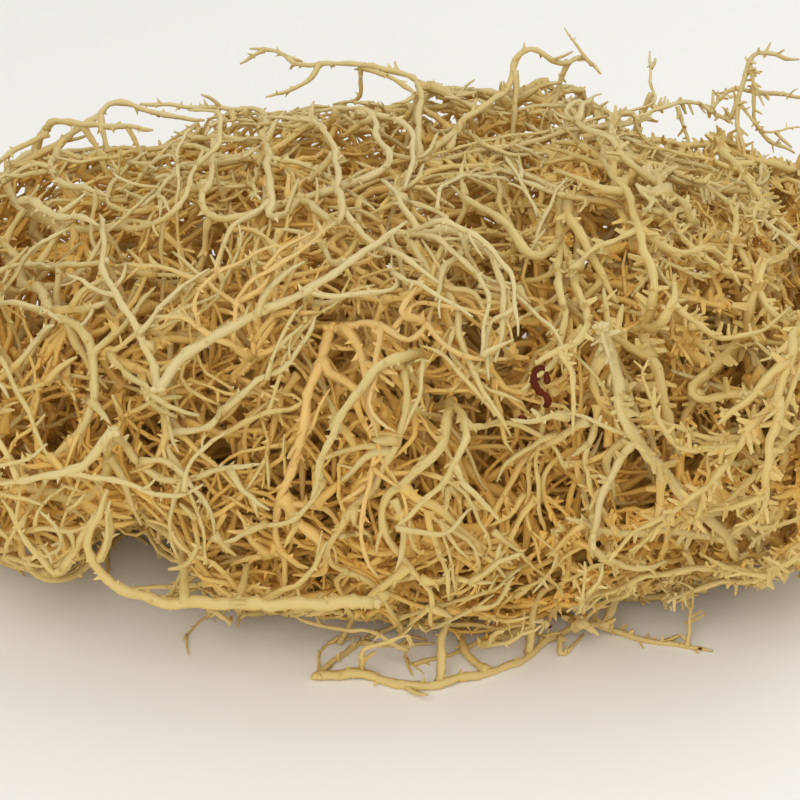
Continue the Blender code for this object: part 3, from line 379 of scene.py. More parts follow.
# How hidden a place is: strands are looked for this far from it, in millimetres, in so many directions, and
# half of what is still seen is hidden by this much of them, counted in millimetres of full cells. Each of the
# directions is this much further round, in radians, than the one before it.
# How hidden a place is sets the painted shade and glow in the strands' colour.
COVER_REACH = (3.4, 5.1, 7.0, 9.5, 12.5, 16.0, 21.0)
COVER_HALF = 1.6
COVER_WAYS = 24
GOLDEN_TURN = 2.39996


def number(name, description, default, least, most, **kind):
    """A setting of one number."""
    return FloatProperty(name=name, description=description, default=default, min=least, max=most, **kind)


def span(name, description, default, least, most):
    """A setting of two numbers, in millimetres."""
    return FloatVectorProperty(name=name, description=description + " in millimetres, least and most", size=2,
                               default=default, min=least, max=most)


def tint(name, description, default):
    """A setting of one colour."""
    return FloatVectorProperty(name=name, description=description, subtype="COLOR", size=3, default=default)


class SEAWEED_PG_strands(PropertyGroup):
    """Sizes of the strands, in millimetres as they grow."""

    inner_length: number("Inner Strand Length", "Metres of strand added inside the clump", 50.0, 0.0, 150.0)
    inner_radius: span("Inner Radius", "Radius of an inner strand where it starts", (1.0, 1.5), 0.1, 2.5)
    inner_reach: span("Inner Reach", "Length of an inner strand", (28.0, 85.0), 2.0, 150.0)
    fine_length: number("Fine Strand Length", "Metres of strand added near the surface", 46.0, 0.0, 150.0)
    fine_radius: span("Fine Radius", "Radius of a fine strand where it starts", (0.66, 1.08), 0.1, 2.0)
    fine_reach: span("Fine Reach", "Length of a fine strand", (30.0, 90.0), 2.0, 150.0)
    twig_gap: number("Twig Gap", "Millimetres between twigs along a strand", 26.0, 1.0, 50.0)
    twig_reach: span("Twig Reach", "Length of a twig", (2.0, 7.0), 0.5, 20.0)
    tip_radius: number("Tip Radius", "Radius in millimetres of every tip", 0.38, 0.05, 1.0)
    crookedness: number("Crookedness", "Millimetres that a strand strays from its line", 0.55, 0.0, 2.0)
    unevenness: number("Unevenness", "How much a strand's radius varies", 0.16, 0.0, 0.6, subtype="FACTOR")
    thorn_length: span("Thorn Length", "Length of a thorn", (0.55, 2.5), 0.1, 6.0)
    thorn_gap: number("Thorn Gap", "Millimetres between thorns where there are most", 1.1, 0.4, 20.0)


class SEAWEED_PG_finish(PropertyGroup):
    """Colours and surface of the dried strands, among them the colours of their painted shade and glow."""

    straw: tint("Straw", "Colour of most strands", (0.63, 0.495, 0.205))
    pale: tint("Pale", "Colour of bleached strands and tips", (0.665, 0.55, 0.27))
    # Golden is the strands' own darker tone, and also their painted shade where they are hidden, face down or
    # lie low.
    golden: tint("Golden", "Colour of darker strands and of hidden ones", (0.77, 0.54, 0.165))
    # Deep is painted glow: a bright orange put on strands that are well hidden and low, in place of light
    # passing through and between the strands.
    deep: tint("Deep", "Colour of strands deep inside, which little light reaches", (0.95, 0.62, 0.155))
    amber: tint("Amber", "Colour of the one amber frond", (0.74, 0.49, 0.17))
    scrap: tint("Scrap", "Colour of the dark scraps", (0.11, 0.022, 0.008))
    roughness: number("Roughness", "Least roughness of a dried strand", 0.48, 0.0, 1.0, subtype="FACTOR")
    wrinkle: number("Wrinkle", "Strength of the wrinkles along a strand", 0.55, 0.0, 1.0, subtype="FACTOR")


class SEAWEED_PG_stage(PropertyGroup):
    """The floor, the lights and the camera."""

    floor: tint("Floor", "Colour of the floor", (0.87, 0.86, 0.84))
    sky: number("Sky", "Strength of the even light from all round", 0.76, 0.0, 5.0)
    key: number("Key Light", "Power of the soft light above the camera", 2.5, 0.0, 100.0, unit="POWER")
    fill: number("Fill Light", "Power of the soft light from behind", 1.3, 0.0, 100.0, unit="POWER")
    lens: number("Lens", "Focal length of the camera", 103.5, 20.0, 500.0, unit="CAMERA")


def mixed(a, b, share):
    """A number that share of the way from a to b."""
    return a + (b - a) * share


def rows(points):
    """A list of points as a table."""
    return np.array([list(point) for point in points])


def run_of(line):
    """How far along a table of points each of them lies."""
    return np.concatenate(([0.0], np.cumsum(np.linalg.norm(np.diff(line, axis=0), axis=1))))


def dome_depth(point):
    """1 on the dome's lumpy surface, less inside it and more outside."""
    x, y, z = point
    rise = DOME_RISE if z > DOME_MIDDLE_HEIGHT else DOME_DROP
    whole = (
        (abs(x) / DOME_HALF_WIDTH) ** DOME_SQUARENESS
        + (abs(y) / DOME_HALF_DEPTH) ** DOME_SQUARENESS
        + (abs(z - DOME_MIDDLE_HEIGHT) / rise) ** DOME_SQUARENESS
    ) ** (1 / DOME_SQUARENESS)
    lump = math.sin(x / DOME_LUMP_LENGTH + 1.0) * math.sin(y / DOME_LUMP_LENGTH + 2.0)
    return whole * (1 + DOME_LUMP * lump)


def dome_normal(point):
    """The way out of the dome at a point."""
    reach = 0.5
    here = dome_depth(point)
    steps = (Vector((reach, 0, 0)), Vector((0, reach, 0)), Vector((0, 0, reach)))
    slope = Vector([dome_depth(point + step) - here for step in steps])
    return slope.normalized() if slope.length > 1e-9 else Vector((0, 0, 1))


def depths_of(table):
    """The depth in the dome of each row of a table of points, and the way out of it there."""
    centred = table - (0.0, 0.0, DOME_MIDDLE_HEIGHT)
    halves = np.full_like(table, (DOME_HALF_WIDTH, DOME_HALF_DEPTH, DOME_RISE))
    halves[:, 2] = np.where(centred[:, 2] > 0, DOME_RISE, DOME_DROP)
    shares = np.abs(centred) / halves
    outwards = np.sign(centred) * shares ** (DOME_SQUARENESS - 1) / halves
    outwards /= np.maximum(np.linalg.norm(outwards, axis=1), 1e-9)[:, None]
    return (shares ** DOME_SQUARENESS).sum(1) ** (1 / DOME_SQUARENESS), outwards


def view_ray(pixel):
    """The eye, and the direction in which it sees a picture point."""
    across = Vector((1, 0, 0))
    ahead = Vector((0, math.cos(VIEW_ELEVATION), -math.sin(VIEW_ELEVATION)))
    up = Vector((0, math.sin(VIEW_ELEVATION), math.cos(VIEW_ELEVATION)))
    eye = Vector(VIEW_AIM) - ahead * VIEW_DISTANCE
    right = (pixel[0] - PICTURE_MIDDLE) * MM_PER_PIXEL
    above = (PICTURE_MIDDLE - pixel[1]) * MM_PER_PIXEL
    return eye, (ahead * VIEW_DISTANCE + across * right + up * above).normalized()


def meet(pixel, depth, height):
    """Where the sight line of a picture point first meets the dome at that depth, or comes down so low."""
    eye, way = view_ray(pixel)
    near, nearest = VIEW_DISTANCE - 1.6 * DOME_HALF_DEPTH, None
    step = 1.0
    for i in range(round(3.0 * DOME_HALF_DEPTH / step)):
        point = eye + way * (near + i * step)
        level = dome_depth(point)
        if level <= depth or point.z <= height:
            return Vector((point.x, point.y, max(point.z, height)))
        if nearest is None or level < nearest[0]:
            nearest = (level, point)
        elif point.y > 0 and level > nearest[0] + 0.02:
            break
    return nearest[1]


def smooth_path(points, step):
    """Points evenly spaced along a smooth curve through the given ones."""
    ends = [points[0] * 2 - points[1], *points, points[-1] * 2 - points[-2]]
    fine = []
    for a, b, c, d in zip(ends, ends[1:], ends[2:], ends[3:]):
        for i in range(12):
            t = i / 12
            fine.append(0.5 * ((2 * b) + (c - a) * t + (2 * a - 5 * b + 4 * c - d) * t * t
                               + (3 * b - a - 3 * c + d) * t ** 3))
    fine.append(points[-1])
    along = [0.0]
    for a, b in zip(fine, fine[1:]):
        along.append(along[-1] + (b - a).length)
    count = max(1, round(along[-1] / step))
    wanted = np.linspace(0, along[-1], count + 1)
    table = rows(fine)
    return [Vector([np.interp(w, along, table[:, k]) for k in range(3)]) for w in wanted]


class Tangle:
    """All strands as paths through shared points, so that a branch stays on its stem whatever moves."""

    def __init__(self):
        self.points = []
        self.firm = []
        self.strands = []

    def add_point(self, point, firm):
        self.points.append(Vector(point))
        self.firm.append(firm)
        return len(self.points) - 1

    def add_strand(self, frond, order, sides, start, points, radii, firm):
        """A strand that grows from the tangle's point number start through new points."""
        path = [start] + [self.add_point(p, firm) for p in points]
        strand = {"frond": frond, "order": order, "sides": sides, "path": path, "radii": list(radii),
                  "holds": start}
        self.strands.append(strand)
        return strand


def taper(base, tip, count):
    """Radii of count points that thin slowly along a strand and quickly at its tip."""
    return [tip + (base - tip) * (1 - (i / (count - 1)) ** 1.6) for i in range(count)]


def wander(start, heading, length, step, depth, wildness, radius, dice):
    """New points of a strand that sets off from start and winds along the dome at about that depth."""
    point, way, bend = Vector(start), Vector(heading).normalized(), 0.0
    found = []
    for _ in range(max(1, round(length / step))):
        out = dome_normal(point)
        side = out.cross(way).normalized()
        bend = 0.75 * bend + dice.gauss(0, wildness)
        lift = way.dot(out)
        wanted = max(-0.6, min(0.6, (depth - dome_depth(point)) * 3.0))
        way = (way - out * lift + side * bend).normalized() + out * (0.5 * lift + 0.5 * wanted)
        way.normalize()
        point = point + way * step
        beyond = dome_depth(point) - depth - DOME_STRAY
        if beyond > 0:
            point = point - dome_normal(point) * (beyond * DOME_HALF_DEPTH)
        lowest = radius * PRESSED[BRANCH_SIDES]
        if point.z < lowest:
            point.z = lowest
            way.z = max(way.z, 0.0)
        found.append(point.copy())
    return found


def branch_off(tangle, strand, count, step, dice):
    """Side branches along a strand, now to one side and now to the other, with a bend at each step."""
    path, radii = strand["path"], strand["radii"]
    side_sign, due, along, grown = dice.choice((-1, 1)), dice.uniform(*BRANCH_EVERY), 0.0, []
    for i in range(1, len(path) - 1):
        here = tangle.points[path[i]]
        way = (tangle.points[path[i + 1]] - tangle.points[path[i - 1]]).normalized()
        along += (here - tangle.points[path[i - 1]]).length
        if along < due or len(grown) >= count:
            continue
        due = along + dice.uniform(*BRANCH_EVERY)
        side_sign = -side_sign if dice.random() < 0.8 else side_sign
        out = dome_normal(here)
        side = out.cross(way).normalized() * side_sign
        angle = math.radians(dice.uniform(*BRANCH_ANGLE))
        lean = math.radians(dice.uniform(-BRANCH_OUT_OF_PLANE, BRANCH_OUT_OF_PLANE))
        heading = way * math.cos(angle) + (side * math.cos(lean) + out * math.sin(lean)) * math.sin(angle)
        radius = max(TIP_RADIUS + 0.1, radii[i] * dice.uniform(*BRANCH_SHARE))
        length = dice.triangular(*BRANCH_LENGTH)
        depth = dome_depth(here) * dice.uniform(*BRANCH_DEPTH)
        points = wander(here, heading, length, step, depth, BRANCH_WILDNESS, radius, dice)
        grown.append(tangle.add_strand(
            strand["frond"], strand["order"] + 1, BRANCH_SIDES, path[i], points,
            taper(radius, TIP_RADIUS, len(points) + 1), 0.02))
    return grown


def part_forks(tangle):
    """Moves each fork a little up its stem, so that the branch leaves the stem between two of its bends."""
    after = {}
    for strand in tangle.strands:
        after.update({a: b for a, b in zip(strand["path"][1:], strand["path"][2:])})
    for strand in tangle.strands:
        start = strand["path"][0]
        if start in after:
            strand["holds"] = after[start]
            place = tangle.points[start].lerp(tangle.points[after[start]], 0.45)
            strand["path"][0] = tangle.add_point(place, 0.0)


def nearest_point(tangle, frond, place):
    """The number of the frond's own point that lies nearest to a place."""
    own = {i for strand in tangle.strands if strand["frond"] == frond for i in strand["path"][1:]}
    return min(own, key=lambda i: (tangle.points[i] - place).length)


def grow_shown_frond(tangle, name, plan, dice):
    """A frond laid along its picture routes, with branches on all its stems."""
    root_place = meet(plan["root"], plan["depth"], STEM_WIDTHS["thick"][0] * PRESSED[5])
    root = tangle.add_point(root_place, 0.1)
    stems = []
    for width, begins, pixels in plan["stems"]:
        base, tip = STEM_WIDTHS[width]
        depth = dice.uniform(*SHOWN_DEPTH)
        route = [meet(pixel, depth, base * PRESSED[STEM_SIDES[width]]) for pixel in pixels]
        if begins == "fork":
            start = nearest_point(tangle, name, route[0])
            route[0] = tangle.points[start]
        else:
            start = root
            route.insert(0, root_place)
        points = smooth_path(route, STEM_STEP)[1:]
        stems.append(tangle.add_strand(name, 0 if begins == "root" else 1, STEM_SIDES[width], start, points,
                                       taper(base, tip, len(points) + 1), 0.1))
    share_branches(tangle, stems, plan["branches"], BRANCH_STEP, dice)
    return root


def share_branches(tangle, stems, total, step, dice):
    """Grows the frond's branches, shared over its stems by length, and a few branches on those."""
    joints = sum(len(stem["path"]) for stem in stems)
    for stem in stems:
        share = math.ceil(total * len(stem["path"]) / joints)
        branch_off(tangle, stem, share, step, dice)


def grow_far_frond(tangle, name, plan, dice):
    """A frond of the back or the inside, whose stems wander."""
    root = tangle.add_point(plan["root"], 0.1)
    base, tip = STEM_WIDTHS["thick"]
    stems = []
    for heading, depth in zip(plan["headings"], plan.get("depths", FAR_DEPTHS)):
        points = wander(plan["root"], heading, dice.uniform(*FAR_STEM_LENGTH), FAR_STEM_STEP, depth,
                        FAR_WILDNESS, base, dice)
        stems.append(tangle.add_strand(name, 0, STEM_SIDES["thick"], root, points,
                                       taper(base, tip, len(points) + 1), 0.02))
    share_branches(tangle, stems, FAR_BRANCHES, FAR_BRANCH_STEP, dice)
    return root


class Segments:
    """The strands' straight pieces as arrays: end points, radii, strand, place, frond and pressed height."""

    def __init__(self, strands):
        rows = []
        for number, strand in enumerate(strands):
            path, radii = strand["path"], strand["radii"]
            for place, (a, b) in enumerate(zip(path, path[1:])):
                rows.append((a, b, radii[place], radii[place + 1], number, place, strand["frond_number"],
                             PRESSED[strand["sides"]]))
        table = np.array(rows, float)
        self.a, self.b = table[:, 0].astype(int), table[:, 1].astype(int)
        self.ra, self.rb = table[:, 2], table[:, 3]
        self.strand, self.place, self.frond = (table[:, k].astype(int) for k in (4, 5, 6))
        self.pressed = table[:, 7]


def close_pairs(points, seg, joints, reach):
    """Pairs of pieces that may come within reach of each other, but for neighbours on the same frond."""
    middle = (points[seg.a] + points[seg.b]) / 2
    half = np.linalg.norm(points[seg.a] - points[seg.b], axis=1) / 2 + np.maximum(seg.ra, seg.rb)
    found_i, found_j = [], []
    order = np.argsort(middle[:, 0], kind="stable")
    xs = middle[order, 0]
    widest = 2 * half.max() + reach
    ends = np.searchsorted(xs, xs + widest, side="right")
    for i in range(len(order)):
        one, others = order[i], order[i + 1:ends[i]]
        gap = np.linalg.norm(middle[others] - middle[one], axis=1)
        near = others[gap < half[others] + half[one] + reach]
        found_i.append(np.full(len(near), one))
        found_j.append(near)
    i, j = np.concatenate(found_i), np.concatenate(found_j)
    kept = joints[seg.b[i], seg.b[j]] > FREE_JOINTS
    return i[kept], j[kept]


def joints_between(tangle):
    """How many steps along a frond lead from each point to each other, and a great many to other fronds."""
    count = len(tangle.points)
    steps = np.full((count, count), count, int)
    np.fill_diagonal(steps, 0)
    met = []
    for strand in tangle.strands:
        path = strand["path"]
        if path[0] not in met:
            steps[path[0], met] = steps[strand["holds"], met] + 1
            steps[met, path[0]] = steps[path[0], met]
            met.append(path[0])
        for before, new in zip(path, path[1:]):
            steps[new, met] = steps[before, met] + 1
            steps[met, new] = steps[new, met]
            met.append(new)
    return steps


def nearest_on_pieces(p1, q1, p2, q2):
    """For each pair of pieces, how far along each the two come nearest, and the way between them there."""
    d1, d2, r = q1 - p1, q2 - p2, p1 - p2
    a, e = (d1 * d1).sum(1) + 1e-9, (d2 * d2).sum(1) + 1e-9
    b, c, f = (d1 * d2).sum(1), (d1 * r).sum(1), (d2 * r).sum(1)
    flat = np.maximum(a * e - b * b, 1e-9)
    s = np.clip((b * f - c * e) / flat, 0, 1)
    t = np.clip((b * s + f) / e, 0, 1)
    s = np.clip((b * t - c) / a, 0, 1)
    between = (p1 + d1 * s[:, None]) - (p2 + d2 * t[:, None])
    return s, t, between


def meetings(points, seg, i, j):
    """For each pair of pieces, how far along each they come nearest, the way between them, and both radii."""
    s, t, between = nearest_on_pieces(points[seg.a[i]], points[seg.b[i]], points[seg.a[j]], points[seg.b[j]])
    return s, t, between, (seg.ra[i] * (1 - s) + seg.rb[i] * s) + (seg.ra[j] * (1 - t) + seg.rb[j] * t)


def settle(tangle):
    """Moves the strands apart until fronds clear each other, while each keeps near its place and length."""
    points = rows(tangle.points)
    rest = points.copy()
    seg = Segments(tangle.strands)
    firm = np.array(tangle.firm)[:, None]
    length = np.linalg.norm(points[seg.a] - points[seg.b], axis=1)
    joints = joints_between(tangle)
    lowest = np.zeros(len(points))
    np.maximum.at(lowest, seg.a, seg.ra * seg.pressed)
    np.maximum.at(lowest, seg.b, seg.rb * seg.pressed)
    ahead = np.array([0, math.cos(VIEW_ELEVATION), -math.sin(VIEW_ELEVATION)])
    i = j = None
    for turn in range(SETTLE_ROUNDS):
        if turn % 6 == 0:
            i, j = close_pairs(points, seg, joints, 2.0)
        s, t, between, thickness = meetings(points, seg, i, j)
        apart = np.linalg.norm(between, axis=1)
        short = np.maximum(thickness + GAP - apart, 0)
        pushed = short > 0
        way = between / np.maximum(apart, 1e-6)[:, None]
        way[apart < 1e-3] = ahead
        push = way * (0.5 * short)[:, None]
        moved, touched = np.zeros_like(points), np.zeros(len(points))
        ends = ((seg.a[i], 1 - s, 1), (seg.b[i], s, 1), (seg.a[j], 1 - t, -1), (seg.b[j], t, -1))
        for number, weight, sign in ends:
            np.add.at(moved, number[pushed], (push * (sign * weight)[:, None])[pushed])
            np.add.at(touched, number[pushed], weight[pushed])
        points += 1.3 * moved / np.maximum(touched, 1)[:, None]
        if turn < SETTLE_ROUNDS - 25:
            back = rest - points
            along = (back @ ahead)[:, None] * ahead
            points += firm * (back - along) + 0.15 * firm * along
        line = points[seg.b] - points[seg.a]
        now = np.maximum(np.linalg.norm(line, axis=1), 1e-6)
        fix = line * (0.15 * (now - length) / now)[:, None]
        moved, touched = np.zeros_like(points), np.ones(len(points))
        np.add.at(moved, seg.a, fix)
        np.add.at(moved, seg.b, -fix)
        np.add.at(touched, seg.a, 0.5)
        np.add.at(touched, seg.b, 0.5)
        points += moved / touched[:, None]
        above = points[:, 2] - lowest
        points[:, 2] = lowest + np.where(above < SINK_REACH, np.maximum(0.85 * above - 0.02, 0), above)
        points = np.round(points, 7)
    tangle.points = [Vector(p) for p in points]


def conflicts(tangle):
    """Pairs of (strand, place), of two fronds, that still come too near each other."""
    points = rows(tangle.points)
    seg = Segments(tangle.strands)
    i, j = close_pairs(points, seg, joints_between(tangle), 1.0)
    apart = seg.frond[i] != seg.frond[j]
    i, j = i[apart], j[apart]
    _, _, between, thickness = meetings(points, seg, i, j)
    bad = np.linalg.norm(between, axis=1) < thickness + LEAST_GAP
    return [[(tangle.strands[seg.strand[k]], seg.place[k]) for k in pair] for pair in zip(i[bad], j[bad])]


def cut_back(tangle):
    """Cuts the younger strand of each pair that still crosses, just short of the crossing."""
    def youth(end):
        strand, place = end
        return strand["order"], place - len(strand["path"])

    for pair in sorted(conflicts(tangle), key=lambda pair: youth(max(pair, key=youth)), reverse=True):
        if all(strand in tangle.strands and place < len(strand["path"]) - 1 for strand, place in pair):
            strand, place = max(pair, key=youth)
            lost = set(strand["path"][place + 1:])
            del strand["path"][place + 1:]
            del strand["radii"][place + 1:]
            drop_loose(tangle, lost)


def drop_loose(tangle, lost):
    """Drops strands that are down to their root, and those that grew from what was cut."""
    loose = [s for s in tangle.strands if len(s["path"]) < 2 or s["holds"] in lost]
    while loose:
        for strand in loose:
            lost |= set(strand["path"][1:])
            tangle.strands.remove(strand)
        loose = [s for s in tangle.strands if s["holds"] in lost]


def grow_clump():
    """The whole tangle, settled and cut clear, with the fronds' root points."""
    tangle, roots = Tangle(), {}
    for number, (name, plan) in enumerate(FRONDS.items()):
        roots[name] = grow_shown_frond(tangle, name, plan, random.Random(SEED + number))
    for number, (name, plan) in enumerate(FAR_FRONDS.items()):
        roots[name] = grow_far_frond(tangle, name, plan, random.Random(SEED + 100 + number))
    numbers = {name: number for number, name in enumerate(roots)}
    for strand in tangle.strands:
        strand["frond_number"] = numbers[strand["frond"]]
    settle(tangle)
    part_forks(tangle)
    cut_back(tangle)
    return tangle, roots


def middle_offset(tangle):
    """Across and back, from the middle of the strands' whole extent to the origin."""
    low, high = Vector((1e9,) * 3), Vector((-1e9,) * 3)
    for strand in tangle.strands:
        for i, radius in zip(strand["path"], strand["radii"]):
            for k in range(3):
                low[k] = min(low[k], tangle.points[i][k] - radius)
                high[k] = max(high[k], tangle.points[i][k] + radius)
    return Vector((-(low.x + high.x) / 2, -(low.y + high.y) / 2, 0))


EYE, _ = view_ray((PICTURE_MIDDLE, PICTURE_MIDDLE))
AHEAD = (Vector(VIEW_AIM) - EYE).normalized()
UPWARD = Vector((1, 0, 0)).cross(AHEAD)


def thorniness(point):
    """0 where strands are smooth to 1 where they are all thorns, by the place in the clump."""
    return max(0.0, min(1.0, (point[0] - THORNY_FROM) / (THORNY_FULL - THORNY_FROM)))


def picture_place(point):
    """The picture point at which a place is seen."""
    sight = point - EYE
    scale = VIEW_DISTANCE / MM_PER_PIXEL / sight.dot(AHEAD)
    return PICTURE_MIDDLE + sight.x * scale, PICTURE_MIDDLE - sight.dot(UPWARD) * scale


def over_outline(point, slack):
    """How many pixels a place is seen above the clump's outline, or less than 0 if it is below it."""
    across, down = picture_place(point)
    above = float(np.interp(across, *zip(*UPPER_OUTLINE))) - slack - down
    below = down - float(np.interp(across, *zip(*LOWER_OUTLINE))) - slack
    return above if above > 0 else min(0.0, -below)


def keep_inside(point):
    """A point pulled back inside the clump's own box."""
    x, y, z = point
    return Vector((max(-BOX_HALF_WIDTH, min(BOX_HALF_WIDTH, x)), max(-BOX_HALF_DEPTH, min(BOX_HALF_DEPTH, y)),
                   max(BOX_HEIGHTS[0], min(BOX_HEIGHTS[1], z))))


def turned(way, out, angle):
    """A way turned by an angle about the way out."""
    return way * math.cos(angle) + out.cross(way) * math.sin(angle)


class Room:
    """What room is left in the clump: how full each small cell is, and which way strands run nearby."""

    # In millimetres: the small and the wide cells, the box that they fill, the radius from which a strand is
    # thick, and last, how full a thick one makes the cells beside it.
    CELL = 1.7
    WIDE_CELL = 9.0
    LOW = np.array((-125.0, -95.0, -4.0))
    SIZE = np.array((250.0, 190.0, 112.0))
    THICK = 0.6
    BESIDE = 0.35

    def __init__(self):
        self.full = np.zeros(np.ceil(self.SIZE / self.CELL).astype(int) + 1, np.float32)
        self.kept = np.zeros_like(self.full)
        self.runs = np.zeros((*(np.ceil(self.SIZE / self.WIDE_CELL).astype(int) + 1), 3, 3))

    def cells(self, table):
        """The small cells of a table of points, as indices. Those outside count to the outermost cells."""
        cells = ((table - self.LOW) / self.CELL).astype(int)
        return tuple(np.moveaxis(np.clip(cells, 0, np.array(self.full.shape) - 1), -1, 0))

    def cell(self, point):
        """The small cell at one place."""
        x, y, z = keep_inside(point)
        return (int((x - self.LOW[0]) / self.CELL), int((y - self.LOW[1]) / self.CELL),
                int((z - self.LOW[2]) / self.CELL))

    def fill(self, points, radius):
        """Marks the cells along a path, those beside it too if it is thick, and the way it runs."""
        table = rows(points)
        cells = np.array(self.cells(table))
        np.add.at(self.full, tuple(cells), 1.0)
        if radius > self.THICK:
            for shift in (*np.eye(3, dtype=int), *-np.eye(3, dtype=int)):
                np.add.at(self.full, tuple(cells + shift[:, None]), self.BESIDE)
        ways = table[1:] - table[:-1]
        wide = ((table[1:] - self.LOW) / self.WIDE_CELL).astype(int)
        lengths = np.maximum(np.linalg.norm(ways, axis=1), 1e-6)
        np.add.at(self.runs, tuple(wide.T), ways[:, :, None] * ways[:, None, :] / lengths[:, None, None])

    def screen(self, points):
        """Keeps added strands from running before a path, as the picture sees it."""
        for reach in SCREEN_REACH:
            np.maximum.at(self.kept, self.cells(rows(points) - np.array(AHEAD) * reach), SCREEN_STRENGTH)

    def spread_runs(self):
        """Lets each wide cell know the way strands run in the cells beside it."""
        for axis in range(3):
            self.runs = self.runs + 0.5 * (np.roll(self.runs, 1, axis) + np.roll(self.runs, -1, axis))

    def soften(self):
        """Blurs how full the cells are."""
        self.soft = self.full
        for axis in range(3):
            self.soft = (self.soft + np.roll(self.soft, 1, axis) + np.roll(self.soft, -1, axis)) / 3

    def seen_through(self, spots, sight):
        """How closely filled the clump is along the sight line through each spot."""
        reach = np.arange(-90.0, 91.0, self.CELL)
        line = rows(spots)[:, None, :] + np.array(sight) * reach[:, None]
        inside = (depths_of(line.reshape(-1, 3))[0] < 0.95).reshape(line.shape[:2])
        seen = np.minimum(self.soft[self.cells(line)], 0.5) * inside
        return seen.sum(1) / (inside.sum(1) + 12.0)

    def cover(self, table):
        """How well each row of a table of points is hidden from outside: 0 not at all to 1 wholly."""
        outwards, seen, weights = depths_of(table)[1], 0.0, 0.0
        gaps = np.diff(COVER_REACH, prepend=COVER_REACH[0] - self.CELL)
        for k in range(COVER_WAYS):
            height = 1 - 2 * (k + 0.5) / COVER_WAYS
            flat, turn = math.sqrt(1 - height * height), k * GOLDEN_TURN
            way = np.array((flat * math.cos(turn), flat * math.sin(turn), height))
            total = 0.0
            for reach, gap in zip(COVER_REACH, gaps):
                total = total + self.soft[self.cells(table + way * reach)] * gap
            weight = np.maximum(outwards @ way, 0.0)
            seen = seen + weight * 0.5 ** (total / COVER_HALF)
            weights = weights + weight
        return 1 - seen / weights

    def crowd(self, point):
        """How full the small cell at a place is, or how well it is to be kept clear."""
        cell = self.cell(point)
        return self.full[cell] + self.kept[cell]

    def is_kept(self, point):
        """Whether a place is to be kept clear, so that a shown stem is seen behind it."""
        return self.kept[self.cell(point)] > 0

    def current(self, point, way):
        """The way itself, turned towards the way strands run nearby."""
        run = self.runs[tuple(int((point[k] - self.LOW[k]) / self.WIDE_CELL) for k in range(3))]
        total = run[0, 0] + run[1, 1] + run[2, 2]
        return way if total < 1e-6 else Vector(run @ way) / total


def creep(room, start, heading, reach, depth, radius, step, curl, dice):
    """Points of a strand that creeps from start through the room between strands, at about that depth, and
    its forks: the number of the point, the side that the fork takes and the way that the strand came."""
    point, way, bend = Vector(start), Vector(heading).normalized(), 0.0
    found, forks, slack = [point.copy()], [], dice.uniform(-6, 8)
    due, hand = dice.uniform(*FORK_GAP) * 0.7, dice.choice((-1, 1))
    for k in range(max(2, round(reach / step))):
        out = dome_normal(point)
        side = out.cross(way)
        side = side.normalized() if side.length > 1e-6 else way.orthogonal().normalized()
        bend = KEPT_BEND * bend + dice.gauss(0, curl * step)
        if k * step > due:
            due += dice.uniform(*FORK_GAP)
            hand = -hand if dice.random() < 0.75 else hand
            forks.append((len(found) - 1, hand, way.copy()))
            way = turned(way, out, -hand * dice.uniform(0.08, 0.4)).normalized()
        pull = max(-0.45, min(0.45, (depth - dome_depth(point)) * DEPTH_PULL))
        wanted = way + side * bend + out * (0.5 * pull) + room.current(point, way) * FOLLOWING
        over = over_outline(point + way * 4.0, slack)
        wanted -= UPWARD * max(-0.8, min(0.8, over * OUTLINE_PULL))
        best = None
        for sideways, outwards in TURNS:
            option = (wanted + side * sideways + out * outwards).normalized()
            cost = 0.5 * abs(sideways) + 0.6 * abs(outwards) + min(2.0, room.crowd(point + option * step))
            if best is None or cost < best[0]:
                best = (cost, option)
        way = (way + best[1]).normalized()
        point = keep_inside(point + way * step)
        if point.z < radius * 0.8:
            point.z = radius * 0.8
            way.z = max(way.z, 0.0)
        if k > 1 and room.is_kept(point):
            break
        found.append(point.copy())
    return found, forks


def ease(points):
    """A path with its smallest kinks smoothed, its ends kept."""
    table = rows(points)
    for _ in range(2):
        table[1:-1] = 0.22 * table[:-2] + 0.56 * table[1:-1] + 0.22 * table[2:]
    return table


def stray(table, step, amount, dice):
    """A path made crooked by waves across it, which start at nothing where the strand is rooted."""
    along = np.arange(len(table)) * step
    waves = np.zeros_like(table)
    for length, height in CROOKED_WAVES:
        for k in range(3):
            wave = np.sin(along / length * 2 * math.pi + dice.uniform(0, 6.28))
            waves[:, k] += wave * dice.uniform(0.3, 1.0) * height
    strayed = table + waves * (amount * np.minimum(along / 6.0, 1.0))[:, None]
    strayed[:, 2] = np.maximum(strayed[:, 2], table[:, 2] - 0.3)
    return strayed


def uneven(radii, step, amount, flare, dice):
    """Radii that swell and shrink a little along the strand, and flare where it is rooted."""
    along = np.arange(len(radii)) * step
    wave = sum(np.sin(along / length * 2 * math.pi + dice.uniform(0, 6.28)) for length in UNEVEN_WAVES)
    return np.asarray(radii) * (1 + amount * wave / 2) * (1 + flare * np.exp(-along / 1.7))


class Strand:
    """One round strand: line, radii, how pale and how thorny it is, and how much painted shade and glow it
    takes where it is hidden, a share that also sets how high above the floor its line is kept.
    """

    def __init__(self, line, radii, shade, sides, thorns, darkens=1.0):
        self.line, self.radii, self.shade, self.sides = line, radii, shade, sides
        self.thorns, self.darkens, self.hidden = thorns, darkens, None
        line[:, 2] = np.maximum(line[:, 2], radii * mixed(0.3, 0.85, darkens))


